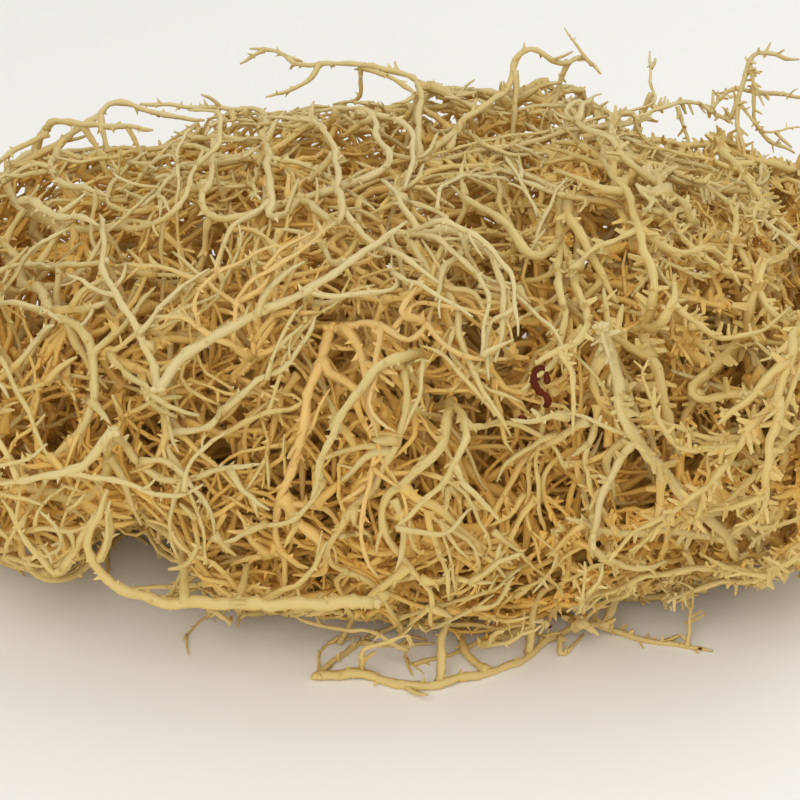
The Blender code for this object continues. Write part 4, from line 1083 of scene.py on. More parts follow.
def look_for_gaps(strands, sight):
    """Places inside the dome, one on each sight line that no strand crosses, as seen from a point far off."""
    across = sight.cross(Vector((0, 0, 1)))
    across = across.normalized() if across.length > 0.1 else Vector((1, 0, 0))
    axes = rows((across, across.cross(sight), sight))
    middle, cell, half = np.array(VIEW_AIM), 0.55, 220
    starts = (np.concatenate([strand.line[:-1] for strand in strands]) - middle) @ axes.T
    ends = (np.concatenate([strand.line[1:] for strand in strands]) - middle) @ axes.T
    wide = np.concatenate([strand.radii[:-1] for strand in strands])
    seen = np.zeros((2 * half, 2 * half), bool)
    for share in (0.0, 0.2, 0.4, 0.6, 0.8):
        local = starts * (1 - share) + ends * share
        scale = VIEW_DISTANCE / (VIEW_DISTANCE + local[:, 2])
        for x, y in ((0, 0), (0.6, 0), (-0.6, 0), (0, 0.6), (0, -0.6)):
            row = ((local[:, 0] * scale + x * wide) / cell + half).astype(int)
            column = ((local[:, 1] * scale + y * wide) / cell + half).astype(int)
            seen[np.clip(row, 0, 2 * half - 1), np.clip(column, 0, 2 * half - 1)] = True
    flat = (np.argwhere(~seen) + 0.5 - half) * cell
    flat = flat[(np.abs(flat) < DOME_HALF_WIDTH).all(1)]
    best, spots = np.full(len(flat), 9.0), np.zeros((len(flat), 3))
    for reach in np.arange(-80.0, 81.0, 4.0):
        scale = (VIEW_DISTANCE + reach) / VIEW_DISTANCE
        here = np.column_stack([flat * scale, np.full(len(flat), reach)]) @ axes + middle
        depths = np.where(here[:, 2] > 1.0, depths_of(here)[0], 9.0)
        closer = depths < best
        best[closer], spots[closer] = depths[closer], here[closer]
    return [Vector(spot) for spot in spots[best < 0.88] if over_outline(Vector(spot), 0) == 0]


class Clump:
    """All strands of the dressed clump, by frond, in the solids' own place."""

    BATCH = 25
    CHANCES = 12

    def __init__(self, sizes):
        self.sizes = sizes
        self.tangle, self.roots = grow_clump()
        self.offset = middle_offset(self.tangle)
        self.room = Room()
        self.strands = {name: [] for name in self.roots}
        self.places = []
        self.dice = random.Random(SEED + 400)
        self.add_grown()
        self.fill(sizes.inner_length, INSIDE_DEPTHS, sizes.inner_radius, sizes.inner_reach, INNER_STEP, 4)
        self.fill(sizes.fine_length, SURFACE_DEPTHS, sizes.fine_radius, sizes.fine_reach, FINE_STEP, 5)
        for sight in MEND_SIGHTS:
            self.mend(sight)
        self.add_twigs()
        self.room.soften()
        for strands in self.strands.values():
            self.hide(strands)

    def hide(self, strands):
        """Works out how well each strand is hidden, all along it."""
        hidden = self.room.cover(np.concatenate([strand.line for strand in strands]))
        for strand in strands:
            # Each strand's share scales how much painted shade and glow it takes.
            strand.hidden = hidden[:len(strand.line)] * strand.darkens
            hidden = hidden[len(strand.line):]

    def add_grown(self):
        """The strands of the solids, made round, smooth and a little crooked."""
        sizes, dice = self.sizes, self.dice
        for strand in self.tangle.strands:
            path = smooth_path([self.tangle.points[i] for i in strand["path"]], ROUND_STEP)
            count = len(strand["path"])
            radii = np.interp(np.linspace(0, count - 1, len(path)), range(count), strand["radii"])
            radii = radii * ROUNDED[strand["sides"]]
            self.room.fill(path, radii.max())
            if strand["frond"] in FRONDS and strand["order"] < 2:
                self.room.screen(path)
            line = stray(rows(path), ROUND_STEP, sizes.crookedness * 0.6, dice)
            radii = uneven(radii, ROUND_STEP, sizes.unevenness, 0.4 if strand["order"] else 0.0, dice)
            radii[-3:] *= (0.9, 0.75, 0.5)
            sides = 7 if radii.max() > 0.9 else 6
            shade = dice.uniform(0.0, 1.0)
            # Grown strands take half the painted shade and glow of hidden places.
            self.strands[strand["frond"]].append(Strand(line, radii, shade, sides, 1.0, 0.5))
            self.keep_places(strand["frond"], path, radii, shade)
        self.room.spread_runs()

    def keep_places(self, frond, path, radii, shade):
        """Remembers places on a strand, from which others may grow."""
        for k in range(2, len(path) - 1, 3):
            way = (path[k + 1] - path[k - 1]).normalized()
            self.places.append((frond, path[k], way, float(radii[k]), shade))

    def place_finder(self):
        """A function that gives the remembered place nearest to a spot."""
        tree = kdtree.KDTree(len(self.places))
        for k, place in enumerate(self.places):
            tree.insert(place[1], k)
        tree.balance()
        return lambda spot: self.places[tree.find(spot)[1]]

    def empty_spot(self, depths):
        """Of some chance spots between two depths, seen within the outline, the easiest to look through."""
        dice, found = self.dice, []
        while len(found) < self.CHANCES:
            spot = Vector((dice.uniform(-1, 1) * DOME_HALF_WIDTH, dice.uniform(-1, 1) * DOME_HALF_DEPTH,
                           dice.uniform(0, 1) * (DOME_MIDDLE_HEIGHT + DOME_RISE)))
            inside = depths[0] < dome_depth(spot) < depths[1] and over_outline(spot, 0) == 0
            if inside and not self.room.is_kept(spot):
                found.append(spot)
        return found[int(np.argmin(self.room.seen_through(found, dice.choice(SIGHTS))))]

    def fill(self, metres, depths, radius, reach, step, sides):
        """Strands that grow from those near each empty spot, until there is enough length of them."""
        dice, grown = self.dice, 0.0
        while grown < metres * 1000:
            self.room.soften()
            nearest = self.place_finder()
            for _ in range(self.BATCH):
                spot = self.empty_spot(depths)
                frond, place, way, stem, shade = nearest(spot)
                lead = spot - place
                if lead.length > 2.0:
                    heading = lead.normalized() + way * 0.7
                else:
                    heading = turned(way, dome_normal(place), 0.8)
                thick = min(dice.uniform(*radius), max(stem * 1.2, 0.6)) * mixed(1.0, 1.3, thorniness(spot))
                grown += self.grow(frond, place, heading, thick, lead.length + dice.uniform(*reach),
                                   dome_depth(spot), (shade + 2 * dice.random()) / 3, 0, step, sides)

    def mend(self, sight):
        """Grows a short strand through each of the gaps that one can still look through one way."""
        dice, every = self.dice, [s for strands in self.strands.values() for s in strands]
        found = look_for_gaps(every, Vector(sight).normalized())
        dice.shuffle(found)
        nearest = self.place_finder()
        for spot in found[:MOST_MENDS]:
            frond, place, _, stem, shade = nearest(spot)
            lead = spot - place
            if lead.length > 0.5:
                thick = min(dice.uniform(*self.sizes.fine_radius), max(stem, 0.6))
                self.grow(frond, place, lead, thick, lead.length + dice.uniform(4, 12), dome_depth(spot),
                          (shade + dice.random()) / 2, 2, MEND_STEP, 5)

    def grow(self, frond, place, heading, radius, reach, depth, shade, order, step, sides):
        """One strand and its forks. Returns their length."""
        sizes, dice = self.sizes, self.dice
        path, forks = creep(self.room, place, heading, reach, depth, radius, step, CURL[order], dice)
        self.room.fill(path, radius)
        line = stray(ease(path), step, sizes.crookedness, dice)
        count = len(line)
        radii = sizes.tip_radius + (radius - sizes.tip_radius) * (1 - np.linspace(0, 1, count) ** 2)
        radii = uneven(radii, step, sizes.unevenness, 0.75, dice)
        radii[-1] *= 0.6
        self.strands[frond].append(Strand(line, radii, shade, sides if order == 0 else 4, 1.0))
        if order == 0:
            self.keep_places(frond, path, radii, shade)
        length = step * count
        for k, hand, way in forks if order < 2 else ():
            if k < count - 2 and dice.random() < FORK_CHANCE[order]:
                out = dome_normal(path[k])
                heading = turned(way, out, hand * dice.uniform(0.4, 0.9)) + out * dice.uniform(-0.4, 0.4)
                least, most = FORK_REACH[order]
                thick = max(0.4, radii[k] * dice.uniform(0.72, 0.95))
                fork_reach = dice.uniform(least, min(most, max(least, reach * 0.6)))
                length += self.grow(frond, path[k], heading, thick, fork_reach, depth, shade, order + 1, step,
                                    sides)
        return length

    def add_twigs(self):
        """Short curved twigs along the strands that lie near the clump's surface."""
        gap, dice = self.sizes.twig_gap, self.dice
        for strands in self.strands.values():
            for strand in list(strands):
                depths = depths_of(strand.line)[0]
                spacing = np.linalg.norm(np.diff(strand.line, axis=0), axis=1).mean()
                along = dice.uniform(0.3, 1.0) * gap
                while along < spacing * (len(depths) - 2):
                    k = int(along / spacing)
                    along += gap * dice.uniform(0.4, 1.6)
                    if depths[k] > TWIG_DEPTH and k > 0:
                        strands.append(self.twig(strand, k))

    def twig(self, strand, k):
        """A short twig at one point of a strand."""
        dice = self.dice
        way = Vector(strand.line[k + 1] - strand.line[k - 1]).normalized()
        side, turn = way.orthogonal().normalized(), dice.uniform(0, 2 * math.pi)
        spoke = side * math.cos(turn) + way.cross(side) * math.sin(turn)
        angle = dice.uniform(0.6, 1.25)
        ahead = way * math.cos(angle) + spoke * math.sin(angle)
        hook = (way * dice.uniform(-0.3, 0.9) + spoke.cross(way) * dice.uniform(-0.7, 0.7)) * 0.5
        point, line = Vector(strand.line[k]), []
        low, high = self.sizes.twig_reach
        reach = low + (high - low) * dice.random() ** 1.8
        for _ in range(5):
            line.append(list(point))
            point = point + ahead * (reach / 4)
            point.z = max(point.z, 0.5)
            ahead = (ahead + hook).normalized()
        thick = min(0.5, max(0.3, strand.radii[k] * dice.uniform(0.5, 0.8)))
        return Strand(np.array(line), thick * np.array((1.5, 1.0, 0.92, 0.8, 0.5)), strand.shade, 4, 0.4)


@functools.cache
def clump():
    """The clump, grown once for all operators."""
    return Clump(bpy.context.scene.seaweed_strands)


def rings_of(line, radii, sides, flatness, rng):
    """Rings of points round a line, with as little twist as may be, neither quite round nor quite even."""
    ways = np.gradient(line, axis=0)
    ways /= np.maximum(np.linalg.norm(ways, axis=1), 1e-9)[:, None]
    across = Vector(ways[0]).orthogonal().normalized()
    sidesteps = np.empty_like(line)
    for i, way in enumerate(ways):
        ahead = Vector(way)
        across = (across - ahead * across.dot(ahead)).normalized()
        sidesteps[i] = across
    others = np.cross(ways, sidesteps)
    turns = np.arange(sides) * (2 * math.pi / sides)
    spokes = sidesteps[:, None, :] * np.cos(turns)[:, None] + others[:, None, :] * np.sin(turns)[:, None]
    lumps = 1 + rng.normal(0, 0.07, (len(line), sides)) + flatness * np.cos(2 * turns + rng.uniform(0, 6.28))
    return line[:, None, :] + spokes * (radii[:, None] * lumps)[:, :, None], sidesteps, others, ways


class MeshParts:
    """Points, faces, map places and shades, gathered into one mesh."""

    MAP_GAP = 0.12

    def __init__(self):
        self.points, self.shade, self.tip, self.inner = [], [], [], []
        self.corners, self.sizes, self.strand_map, self.smooth = [], [], [], []
        self.strips = []
        self.count = 0

    def add(self, points, shade, tip, inner, faces, places, strip, smooth=True):
        """Faces are lists of point numbers, and places their corners on the strand's own map."""
        self.points.append(points)
        self.shade.append(np.full(len(points), shade))
        self.tip.append(tip)
        self.inner.append(inner)
        for face, spots in zip(faces, places):
            self.corners.append((face + self.count).ravel())
            self.sizes.append(np.full(len(face), face.shape[1], np.int32))
            self.strand_map.append(spots.reshape(-1, 2))
            self.smooth.append(np.full(len(face), smooth))
            self.strips.append((strip, len(face) * face.shape[1]))
        self.count += len(points)

    def mesh(self, name):
        """The mesh, with its maps and its shades."""
        mesh = bpy.data.meshes.new(name)
        points = np.concatenate(self.points) * MM
        corners = np.concatenate(self.corners).astype(np.int32)
        sizes = np.concatenate(self.sizes)
        mesh.vertices.add(len(points))
        mesh.vertices.foreach_set("co", points.astype(np.float32).ravel())
        mesh.loops.add(len(corners))
        mesh.loops.foreach_set("vertex_index", corners)
        mesh.polygons.add(len(sizes))
        mesh.polygons.foreach_set("loop_start", (np.cumsum(sizes) - sizes).astype(np.int32))
        mesh.update(calc_edges=True)
        # The inner values are how hidden each point is, and the material paints shade and glow from them.
        for attribute in ("shade", "tip", "inner"):
            values = np.concatenate(getattr(self, attribute)).astype(np.float32)
            mesh.attributes.new(attribute, "FLOAT", "POINT").data.foreach_set("value", values)
        own = np.concatenate(self.strand_map)
        for layer, places in (("strand", own * 0.01), ("OFBake", self.packed(own))):
            mesh.uv_layers.new(name=layer).data.foreach_set("uv", places.astype(np.float32).ravel())
        mesh.polygons.foreach_set("use_smooth", np.concatenate(self.smooth))
        return mesh

    def packed(self, own):
        """The strands' own maps laid side by side in rows on one square."""
        boxes, start, gap = {}, 0, self.MAP_GAP
        for strip, count in self.strips:
            part = own[start:start + count]
            low, high = part.min(0), part.max(0)
            if strip in boxes:
                low, high = np.minimum(low, boxes[strip][0]), np.maximum(high, boxes[strip][1])
            boxes[strip] = (low, high)
            start += count
        extents = {strip: high - low + gap for strip, (low, high) in boxes.items()}
        order = sorted(boxes, key=lambda s: (boxes[s][1] - boxes[s][0])[1], reverse=True)
        area = sum(np.prod(extents[s]) for s in order)
        width = max(math.sqrt(area) * 1.04, max((boxes[s][1] - boxes[s][0])[0] for s in order) + gap)
        corner, row, x, y = {}, 0.0, 0.0, 0.0
        for strip in order:
            if x + extents[strip][0] > width:
                x, y, row = 0.0, y + row, 0.0
            corner[strip] = np.array((x, y)) - boxes[strip][0]
            x += extents[strip][0]
            row = max(row, extents[strip][1])
        side = max(width, y + row)
        placed, start = own.copy(), 0
        for strip, count in self.strips:
            placed[start:start + count] += corner[strip] + gap / 2
            start += count
        return placed / side


def add_strand(parts, strand, offset, number, rng):
    """One strand as a closed tube."""
    flatness = mixed(0.1, 0.28, thorniness(Vector(strand.line[len(strand.line) // 2])))
    rings, across, others, ways = rings_of(strand.line + offset, strand.radii, strand.sides, flatness, rng)
    count, sides = rings.shape[:2]
    points = rings.reshape(-1, 3)
    points[:, 2] = np.maximum(points[:, 2], 0.0)
    along = run_of(strand.line)
    around = 2 * math.pi * strand.radii.max()
    i, j = (index.ravel() for index in np.meshgrid(np.arange(count - 1), np.arange(sides), indexing="ij"))
    after = (j + 1) % sides
    quads = np.stack([i * sides + j, i * sides + after, (i + 1) * sides + after, (i + 1) * sides + j], axis=1)
    left, right = j / sides * around, (j + 1) / sides * around
    corners = ((0, left), (0, right), (1, right), (1, left))
    places = np.stack([np.stack([along[i + a], b], 1) for a, b in corners], axis=1)
    turns = np.arange(sides) * (2 * math.pi / sides)
    faces, spots = [quads], [places]
    for ring, turn_way, where in ((0, -1, -0.5), (count - 1, 1, along[-1] + 0.5)):
        faces.append((ring * sides + np.arange(sides)[::turn_way])[None, :])
        spots.append(np.stack([where + 0.2 * np.cos(turns), 0.3 + 0.2 * np.sin(turns)], 1)[None])
    tip = np.repeat(np.linspace(0, 1, count) ** 2, sides)
    parts.add(points, strand.shade, tip, np.repeat(strand.hidden, sides), faces, spots, number)
    return across, others, ways


# A thorn's three corners round its foot, and the faces of a blunt thorn and of a sharp one.
THORN_CORNERS = ((1.0, 0.0), (-0.5, 0.87), (-0.5, -0.87))
BLUNT_FACES = ((0, 1, 4, 3), (1, 2, 5, 4), (2, 0, 3, 5), (0, 2, 1), (3, 4, 5))
SHARP_FACES = ((0, 1, 3), (1, 2, 3), (2, 0, 3), (0, 2, 1))


def add_thorns(parts, strand, frame_of, offset, sizes, number, rng):
    """Thorns all round a strand: many and long where the clump is thorny, fewer and smaller elsewhere."""
    across, others, ways = frame_of
    hidden = strand.hidden
    wild = thorniness(Vector(strand.line[len(strand.line) // 2])) * strand.thorns
    run = run_of(strand.line)
    count = int(run[-1] / (sizes.thorn_gap * mixed(2.6, 1.0, wild)) * strand.thorns)
    if count < 1 or hidden.mean() > 0.93:
        return
    at = rng.uniform(0.5, run[-1] - 0.3, count)
    k = np.clip(np.searchsorted(run, at), 1, len(run) - 1)
    share = ((at - run[k - 1]) / (run[k] - run[k - 1]))[:, None]
    centre = strand.line[k - 1] * (1 - share) + strand.line[k] * share + offset
    radius = strand.radii[k]
    turn = rng.uniform(0, 2 * math.pi, count)[:, None]
    spoke = across[k] * np.cos(turn) + others[k] * np.sin(turn)
    low, high = sizes.thorn_length
    longest = mixed(low * 2.4, high, wild)
    reach = (low + (longest - low) * rng.uniform(0, 1, count) ** 1.3) * np.minimum(1.0, radius / 0.5)
    thick = np.minimum(radius * 0.95, 0.42 + 0.22 * reach)[:, None]
    foot = centre + spoke * (radius * 0.5)[:, None]
    lean = ways[k] * (reach * rng.uniform(-0.1, 0.9, count))[:, None]
    tip = centre + spoke * (radius + reach)[:, None] + lean
    beside = np.cross(spoke, ways[k])
    base = [foot + (ways[k] * a + beside * b) * thick for a, b in THORN_CORNERS]
    blunt = wild > 0.3
    ends = [tip + (ways[k] * a + beside * b) * thick * 0.5 for a, b in THORN_CORNERS] if blunt else [tip]
    points = np.stack([*base, *ends], axis=1).reshape(-1, 3)
    points[:, 2] = np.maximum(points[:, 2], 0.0)
    each = 3 + len(ends)
    starts = np.arange(count)[:, None] * each
    shift = np.arange(count)[:, None, None] * np.array((0.5, 0.0))
    faces, places = [], []
    for row, shape in enumerate(BLUNT_FACES if blunt else SHARP_FACES):
        spots = np.array(((0, 0), (0.4, 0), (0.4, 0.4), (0, 0.4)))[:len(shape)] + (0, 0.5 * row)
        faces.append(starts + np.array(shape))
        places.append(spots[None] + shift)
    paleness = np.tile((0.1, 0.1, 0.1, *((0.5,) * len(ends))), count)
    parts.add(points, strand.shade, paleness, np.repeat(hidden[k], each), faces, places, number, False)


def holdfast(parts, centre, offset, rng):
    """The knotted foot that a frond's stems spring from: a bundle of short thick lobes."""
    for lobe in range(FOOT_LOBES):
        way = rng.normal(0, 1, 3) * (1, 1, 0.6)
        way /= np.linalg.norm(way)
        line = np.array([centre + way * (FOOT_RADIUS * t) for t in (0, 0.35, 0.7, 1.0, 1.25)])
        strand = Strand(line, FOOT_RADIUS * np.array((0.5, 0.55, 0.5, 0.38, 0.15)), FOOT_SHADE, 7, 0)
        clump().hide([strand])
        add_strand(parts, strand, offset, ("foot", lobe), rng)


def new_piece(name, parts, material):
    """A piece of the scene, made of gathered parts."""
    piece = bpy.data.objects.new(name, parts.mesh(name))
    bpy.context.scene.collection.objects.link(piece)
    piece.data.materials.append(material)
    return piece


def dress(*names):
    """The finished pieces of some fronds, each in place of its solid."""
    made = clump()
    offset = np.array(made.offset)
    for name in names:
        rng = np.random.default_rng(SEED + 500 + made.roots[name])
        parts = MeshParts()
        for number, strand in enumerate(made.strands[name]):
            frame_of = add_strand(parts, strand, offset, number, rng)
            add_thorns(parts, strand, frame_of, offset, made.sizes, ("thorns", number), rng)
        holdfast(parts, np.array(made.tangle.points[made.roots[name]]), offset, rng)
        piece = new_piece("fine_" + name, parts, dried(name))
        node = "frond_" + name
        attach(piece, "root")
        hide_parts(node)
    return {"FINISHED"}


def scraps():
    """The dark scraps, each stuck to the strand that it is seen on."""
    made, parts, rng = clump(), MeshParts(), np.random.default_rng(SEED + 600)
    places = rows([place[1] for place in made.places])
    stems = np.array([place[3] for place in made.places])
    ahead = np.array(AHEAD)
    for number, (radius, pixels) in enumerate(SCRAPS):
        line = rows(smooth_path([meet(pixel, 1.0, radius) for pixel in pixels], 0.5))
        leads = places - line[len(line) // 2]
        deeper = leads @ ahead
        beside = leads - deeper[:, None] * ahead
        apart = np.linalg.norm(beside, axis=1)
        nearest = np.argmin(deeper + 4 * apart)
        line = line + ahead * (deeper[nearest] - stems[nearest] - radius * 0.5)
        line = line + beside[nearest] * max(0.0, 1 - 0.8 * stems[nearest] / apart[nearest])
        radii = np.full(len(line), radius) * (1 + rng.normal(0, 0.12, len(line)))
        radii[[0, -1]] *= 0.5
        strand = Strand(line, radii, 0.5, 7, 0)
        made.hide([strand])
        add_strand(parts, strand, np.array(made.offset), number, rng)
    colour = bpy.context.scene.seaweed_finish.scrap
    piece = new_piece("dark_scraps", parts, plain("dark_scrap", colour, 0.6, 400.0, 0.4, 0.08))
    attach(piece, "root")
    return {"FINISHED"}


class Sock:
    """A node's output that takes part in Python arithmetic by adding Math nodes to its tree."""

    def __init__(self, tree, socket):
        self.tree, self.socket = tree, socket

    def node(self, kind, settings=None, output=0, **inputs):
        """Adds a node of a kind, sets it up, feeds its sockets with values or links, and gives one output."""
        made = self.tree.nodes.new(kind)
        for key, value in (settings or {}).items():
            setattr(made, key, value)
        for key, value in inputs.items():
            slot = made.inputs[int(key[1:])] if key[0] == "_" else made.inputs[key.replace("_", " ")]
            if isinstance(value, Sock):
                self.tree.links.new(value.socket, slot)
            else:
                slot.default_value = value
        return Sock(self.tree, made.outputs[output])

    def noise(self, place, scale, detail, roughness):
        """Noise at a place."""
        return self.node("ShaderNodeTexNoise", None, "Fac", Vector=place, Scale=scale, Detail=detail,
                         Roughness=roughness)

    def math(self, operation, a, b):
        return self.node("ShaderNodeMath", {"operation": operation}, _0=a, _1=b)

    def __add__(self, other):
        return self.math("ADD", self, other)

    def __radd__(self, other):
        return self.math("ADD", other, self)

    def __sub__(self, other):
        return self.math("SUBTRACT", self, other)

    def __rsub__(self, other):
        return self.math("SUBTRACT", other, self)

    def __mul__(self, other):
        return self.math("MULTIPLY", self, other)

    def __rmul__(self, other):
        return self.math("MULTIPLY", other, self)

    def clamped(self):
        """Kept between 0 and 1."""
        return self.node("ShaderNodeClamp", None, 0, _0=self)

    def blend(self, low, high):
        """A colour between two, by this value."""
        return self.node("ShaderNodeMix", {"data_type": "RGBA"}, 2, _0=self, _6=low, _7=high)


def rgba(colour, factor=1.0):
    """A colour property as a socket value, lighter or darker by a factor."""
    return (*(channel * factor for channel in colour), 1.0)


def finish_of(name, finish):
    """The main, the pale and the dark colour of a frond."""
    tone = SLOTS["frond_" + name]
    if tone == "dried_amber":
        return finish.amber, finish.straw, finish.golden
    if tone == "dried_pale" or name in BRIGHT_FRONDS:
        return [mixed(a, b, 0.5) for a, b in zip(finish.straw, finish.pale)], finish.pale, finish.golden
    if tone == "dried_golden":
        return [mixed(a, b, 0.25) for a, b in zip(finish.straw, finish.golden)], finish.straw, finish.golden
    return finish.straw, finish.pale, finish.golden


def new_material(name):
    """A new material, a start for its maths, its shader, and a function that feeds a socket of the shader."""
    made = bpy.data.materials.new(name)
    made.use_nodes = True
    tree = made.node_tree
    shader = tree.nodes["Principled BSDF"]
    return made, Sock(tree, None), shader, lambda key, value: tree.links.new(value.socket, shader.inputs[key])


def dried(name):
    """The dried surface: tones by strand and place, paler tips, specks and wrinkles along the strand, with
    painted shade and glow where it is hidden, painted shade on its underside and painted light towards the
    top.
    """
    finish = bpy.context.scene.seaweed_finish
    main, pale, dark = finish_of(name, finish)
    made, start, shader, feed = new_material("dried_" + name)
    place = start.node("ShaderNodeTexCoord", None, "Object")
    shade, tip, inner = (start.node("ShaderNodeAttribute", {"attribute_name": layer}, "Fac")
                         for layer in ("shade", "tip", "inner"))
    strand = start.node("ShaderNodeUVMap", {"uv_map": "strand"}, "UV")
    patches = start.noise(place, 70.0, 2.0, 0.5)
    mottle = start.noise(place, 900.0, 3.0, 0.6)
    stretched = start.node("ShaderNodeMapping", None, 0, _0=strand, _3=(16.0, 120.0, 1.0))
    wrinkles = start.noise(stretched, 1.6, 3.0, 0.55)
    facing = start.node("ShaderNodeNewGeometry", None, "Normal")
    # Painted shade: the sides of a strand that face down are made less pale and more golden.
    painted_underside_shade = 0.45 - start.node("ShaderNodeSeparateXYZ", None, "Z", _0=facing)
    # Painted light: strands grow paler towards the top of the clump, and darker, more golden and more glowing
    # towards the floor, as light from above would make them.
    lift = start.node("ShaderNodeSeparateXYZ", None, "Z", _0=place) * 11.0 - 0.5
    # Paleness and darkness mix each strand's own tone, patches, specks, wrinkles and paler tips with painted
    # shade where it is hidden, faces down or lies low, and painted light higher up.
    paleness = ((shade - 0.45) * 0.7 + (patches - 0.5) * 1.1 + tip * 0.5 + (mottle - 0.5) * 0.5 - inner
                - painted_underside_shade * 0.5 + lift * 0.7).clamped()
    darkness = ((0.5 - shade) * 0.2 + (0.5 - patches) * 0.5 + (wrinkles - 0.55) * 0.6 + inner * 0.8
                + painted_underside_shade.clamped() * 0.5 - lift * 0.6).clamped()
    # Painted glow: well hidden, low places take the bright deep colour in place of light passing through and
    # between the strands.
    painted_glow_share = (inner * 2.0 - 1.0 - lift * 0.7).clamped()
    colour = darkness.blend(paleness.blend(rgba(main), rgba(pale)), rgba(dark))
    feed("Base Color", painted_glow_share.blend(colour, rgba(finish.deep)))
    feed("Roughness", mottle * 0.25 + finish.roughness)
    height = wrinkles * 0.7 + mottle * 0.3
    bump = start.node("ShaderNodeBump", None, 0, Height=height, Strength=finish.wrinkle, Distance=0.0004)
    feed("Normal", bump)
    shader.inputs["Specular IOR Level"].default_value = 0.35
    return made


def plain(name, colour, roughness, scale, contrast, specular=0.5):
    """A matt material of one clouded colour."""
    made, start, shader, feed = new_material(name)
    place = start.node("ShaderNodeTexCoord", None, "Object")
    cloud = start.noise(place, scale, 2.0, 0.5)
    feed("Base Color", cloud.blend(rgba(colour, 1 - contrast), rgba(colour, 1 + contrast)))
    shader.inputs["Roughness"].default_value = roughness
    shader.inputs["Specular IOR Level"].default_value = specular
    return made


class SEAWEED_OT_left_fronds(Operator):
    """Dress the fronds at the left, smooth and forking"""

    bl_idname = "seaweed.left_fronds"
    bl_label = "Left Fronds"

    def execute(self, context):
        return dress(*LEFT_FRONDS)


class SEAWEED_OT_middle_fronds(Operator):
    """Dress the fronds that hang down the middle and the spray before them"""

    bl_idname = "seaweed.middle_fronds"
    bl_label = "Middle Fronds"

    def execute(self, context):
        return dress(*MIDDLE_FRONDS)


class SEAWEED_OT_right_fronds(Operator):
    """Dress the thorny fronds at the right"""

    bl_idname = "seaweed.right_fronds"
    bl_label = "Right Fronds"

    def execute(self, context):
        return dress(*RIGHT_FRONDS)


class SEAWEED_OT_top_fronds(Operator):
    """Dress the fronds along the top, whose ends stand out"""

    bl_idname = "seaweed.top_fronds"
    bl_label = "Top Fronds"

    def execute(self, context):
        return dress(*TOP_FRONDS)


class SEAWEED_OT_hidden_fronds(Operator):
    """Dress the fronds of the back, the sides and the inside"""

    bl_idname = "seaweed.hidden_fronds"
    bl_label = "Hidden Fronds"

    def execute(self, context):
        return dress(*HIDDEN_FRONDS)


class SEAWEED_OT_scraps(Operator):
    """Stick a few dark scraps to the strands"""

    bl_idname = "seaweed.scraps"
    bl_label = "Dark Scraps"

    def execute(self, context):
        return scraps()


# The soft lights, in metres: where each stands, where they look, how wide they are, and their colours.
KEY_PLACE = (-0.12, -0.54, 0.64)
FILL_PLACE = (0.5, 0.3, 0.6)
LIGHT_AIM = (0, 0, 0.03)
LIGHT_SIZE = 0.6
KEY_COLOUR = (1.0, 0.97, 0.92)
FILL_COLOUR = (0.97, 0.98, 1.0)
SKY_COLOUR = (1.0, 0.985, 0.955, 1)
FLOOR_SIZE = 6.0


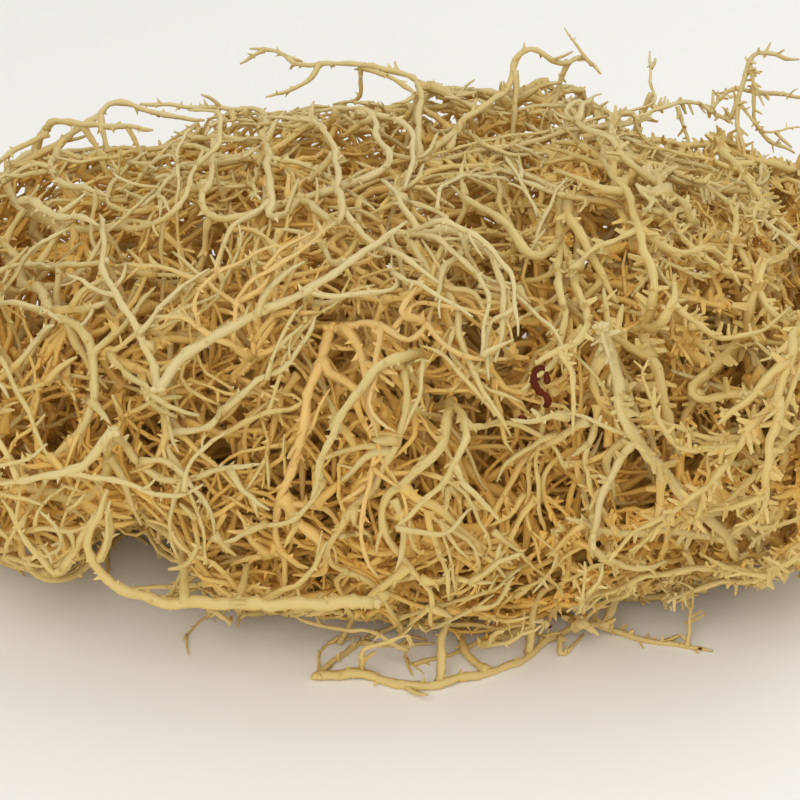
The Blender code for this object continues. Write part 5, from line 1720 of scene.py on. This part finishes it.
class SEAWEED_OT_stage(Operator):
    """Set up the floor, the soft lights and the camera at the picture's angle"""

    bl_idname = "seaweed.stage"
    bl_label = "Stage"

    def execute(self, context):
        scene, stage = context.scene, context.scene.seaweed_stage
        bpy.ops.mesh.primitive_plane_add(size=FLOOR_SIZE)
        floor = context.object
        floor.name = "floor"
        floor.data.materials.append(plain("pale_floor", stage.floor, 0.7, 6.0, 0.02))
        scene.world = bpy.data.worlds.new("studio")
        scene.world.use_nodes = True
        background = scene.world.node_tree.nodes["Background"]
        background.inputs["Color"].default_value = SKY_COLOUR
        background.inputs["Strength"].default_value = stage.sky
        self.add_light(scene, "key", KEY_PLACE, stage.key, KEY_COLOUR)
        self.add_light(scene, "fill", FILL_PLACE, stage.fill, FILL_COLOUR)
        scene.view_settings.view_transform = "Standard"
        self.add_camera(scene, stage)
        return {"FINISHED"}

    def add_light(self, scene, name, place, power, colour):
        data = bpy.data.lights.new(name, "AREA")
        data.size, data.energy, data.color = LIGHT_SIZE, power, colour
        lamp = bpy.data.objects.new(name, data)
        lamp.location = place
        lamp.rotation_euler = (Vector(LIGHT_AIM) - Vector(place)).to_track_quat("-Z", "Y").to_euler()
        scene.collection.objects.link(lamp)

    def add_camera(self, scene, stage):
        aim = (Vector(VIEW_AIM) + clump().offset) * MM
        back = Vector((0, -math.cos(VIEW_ELEVATION), math.sin(VIEW_ELEVATION)))
        data = bpy.data.cameras.new("camera")
        data.sensor_width, data.lens, data.clip_start = 36.0, stage.lens, 0.01
        camera = bpy.data.objects.new("camera", data)
        camera.location = aim + back * (VIEW_DISTANCE * MM)
        camera.rotation_euler = (-back).to_track_quat("-Z", "Y").to_euler()
        scene.collection.objects.link(camera)
        scene.camera = camera


class SEAWEED_PT_clump(Panel):
    """Sizes, finish and steps of the dried clump"""

    bl_idname = "SEAWEED_PT_clump"
    bl_label = "Dried Gracilaria"
    bl_space_type = "VIEW_3D"
    bl_region_type = "UI"
    bl_category = "Seaweed"

    def draw(self, context):
        scene = context.scene
        for group in (scene.seaweed_strands, scene.seaweed_finish, scene.seaweed_stage):
            box = self.layout.box()
            for setting in group.bl_rna.properties:
                if setting.identifier not in ("rna_type", "name"):
                    box.prop(group, setting.identifier)
        for step in STEPS:
            self.layout.operator(step.bl_idname)


GROUPS = (SEAWEED_PG_strands, SEAWEED_PG_finish, SEAWEED_PG_stage)
STEPS = (SEAWEED_OT_left_fronds, SEAWEED_OT_middle_fronds, SEAWEED_OT_right_fronds, SEAWEED_OT_top_fronds,
         SEAWEED_OT_hidden_fronds, SEAWEED_OT_scraps, SEAWEED_OT_stage)


def register():
    for made in (*GROUPS, *STEPS, SEAWEED_PT_clump):
        bpy.utils.register_class(made)
    bpy.types.Scene.seaweed_strands = PointerProperty(type=SEAWEED_PG_strands)
    bpy.types.Scene.seaweed_finish = PointerProperty(type=SEAWEED_PG_finish)
    bpy.types.Scene.seaweed_stage = PointerProperty(type=SEAWEED_PG_stage)


def unregister():
    del bpy.types.Scene.seaweed_strands, bpy.types.Scene.seaweed_finish, bpy.types.Scene.seaweed_stage
    for made in reversed((*GROUPS, *STEPS, SEAWEED_PT_clump)):
        bpy.utils.unregister_class(made)


def main():
    register()
    bpy.ops.seaweed.left_fronds()
    bpy.ops.seaweed.middle_fronds()
    bpy.ops.seaweed.right_fronds()
    bpy.ops.seaweed.top_fronds()
    bpy.ops.seaweed.hidden_fronds()
    bpy.ops.seaweed.scraps()
    bpy.ops.seaweed.stage()
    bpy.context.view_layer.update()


if __name__ == "__main__":
    main()
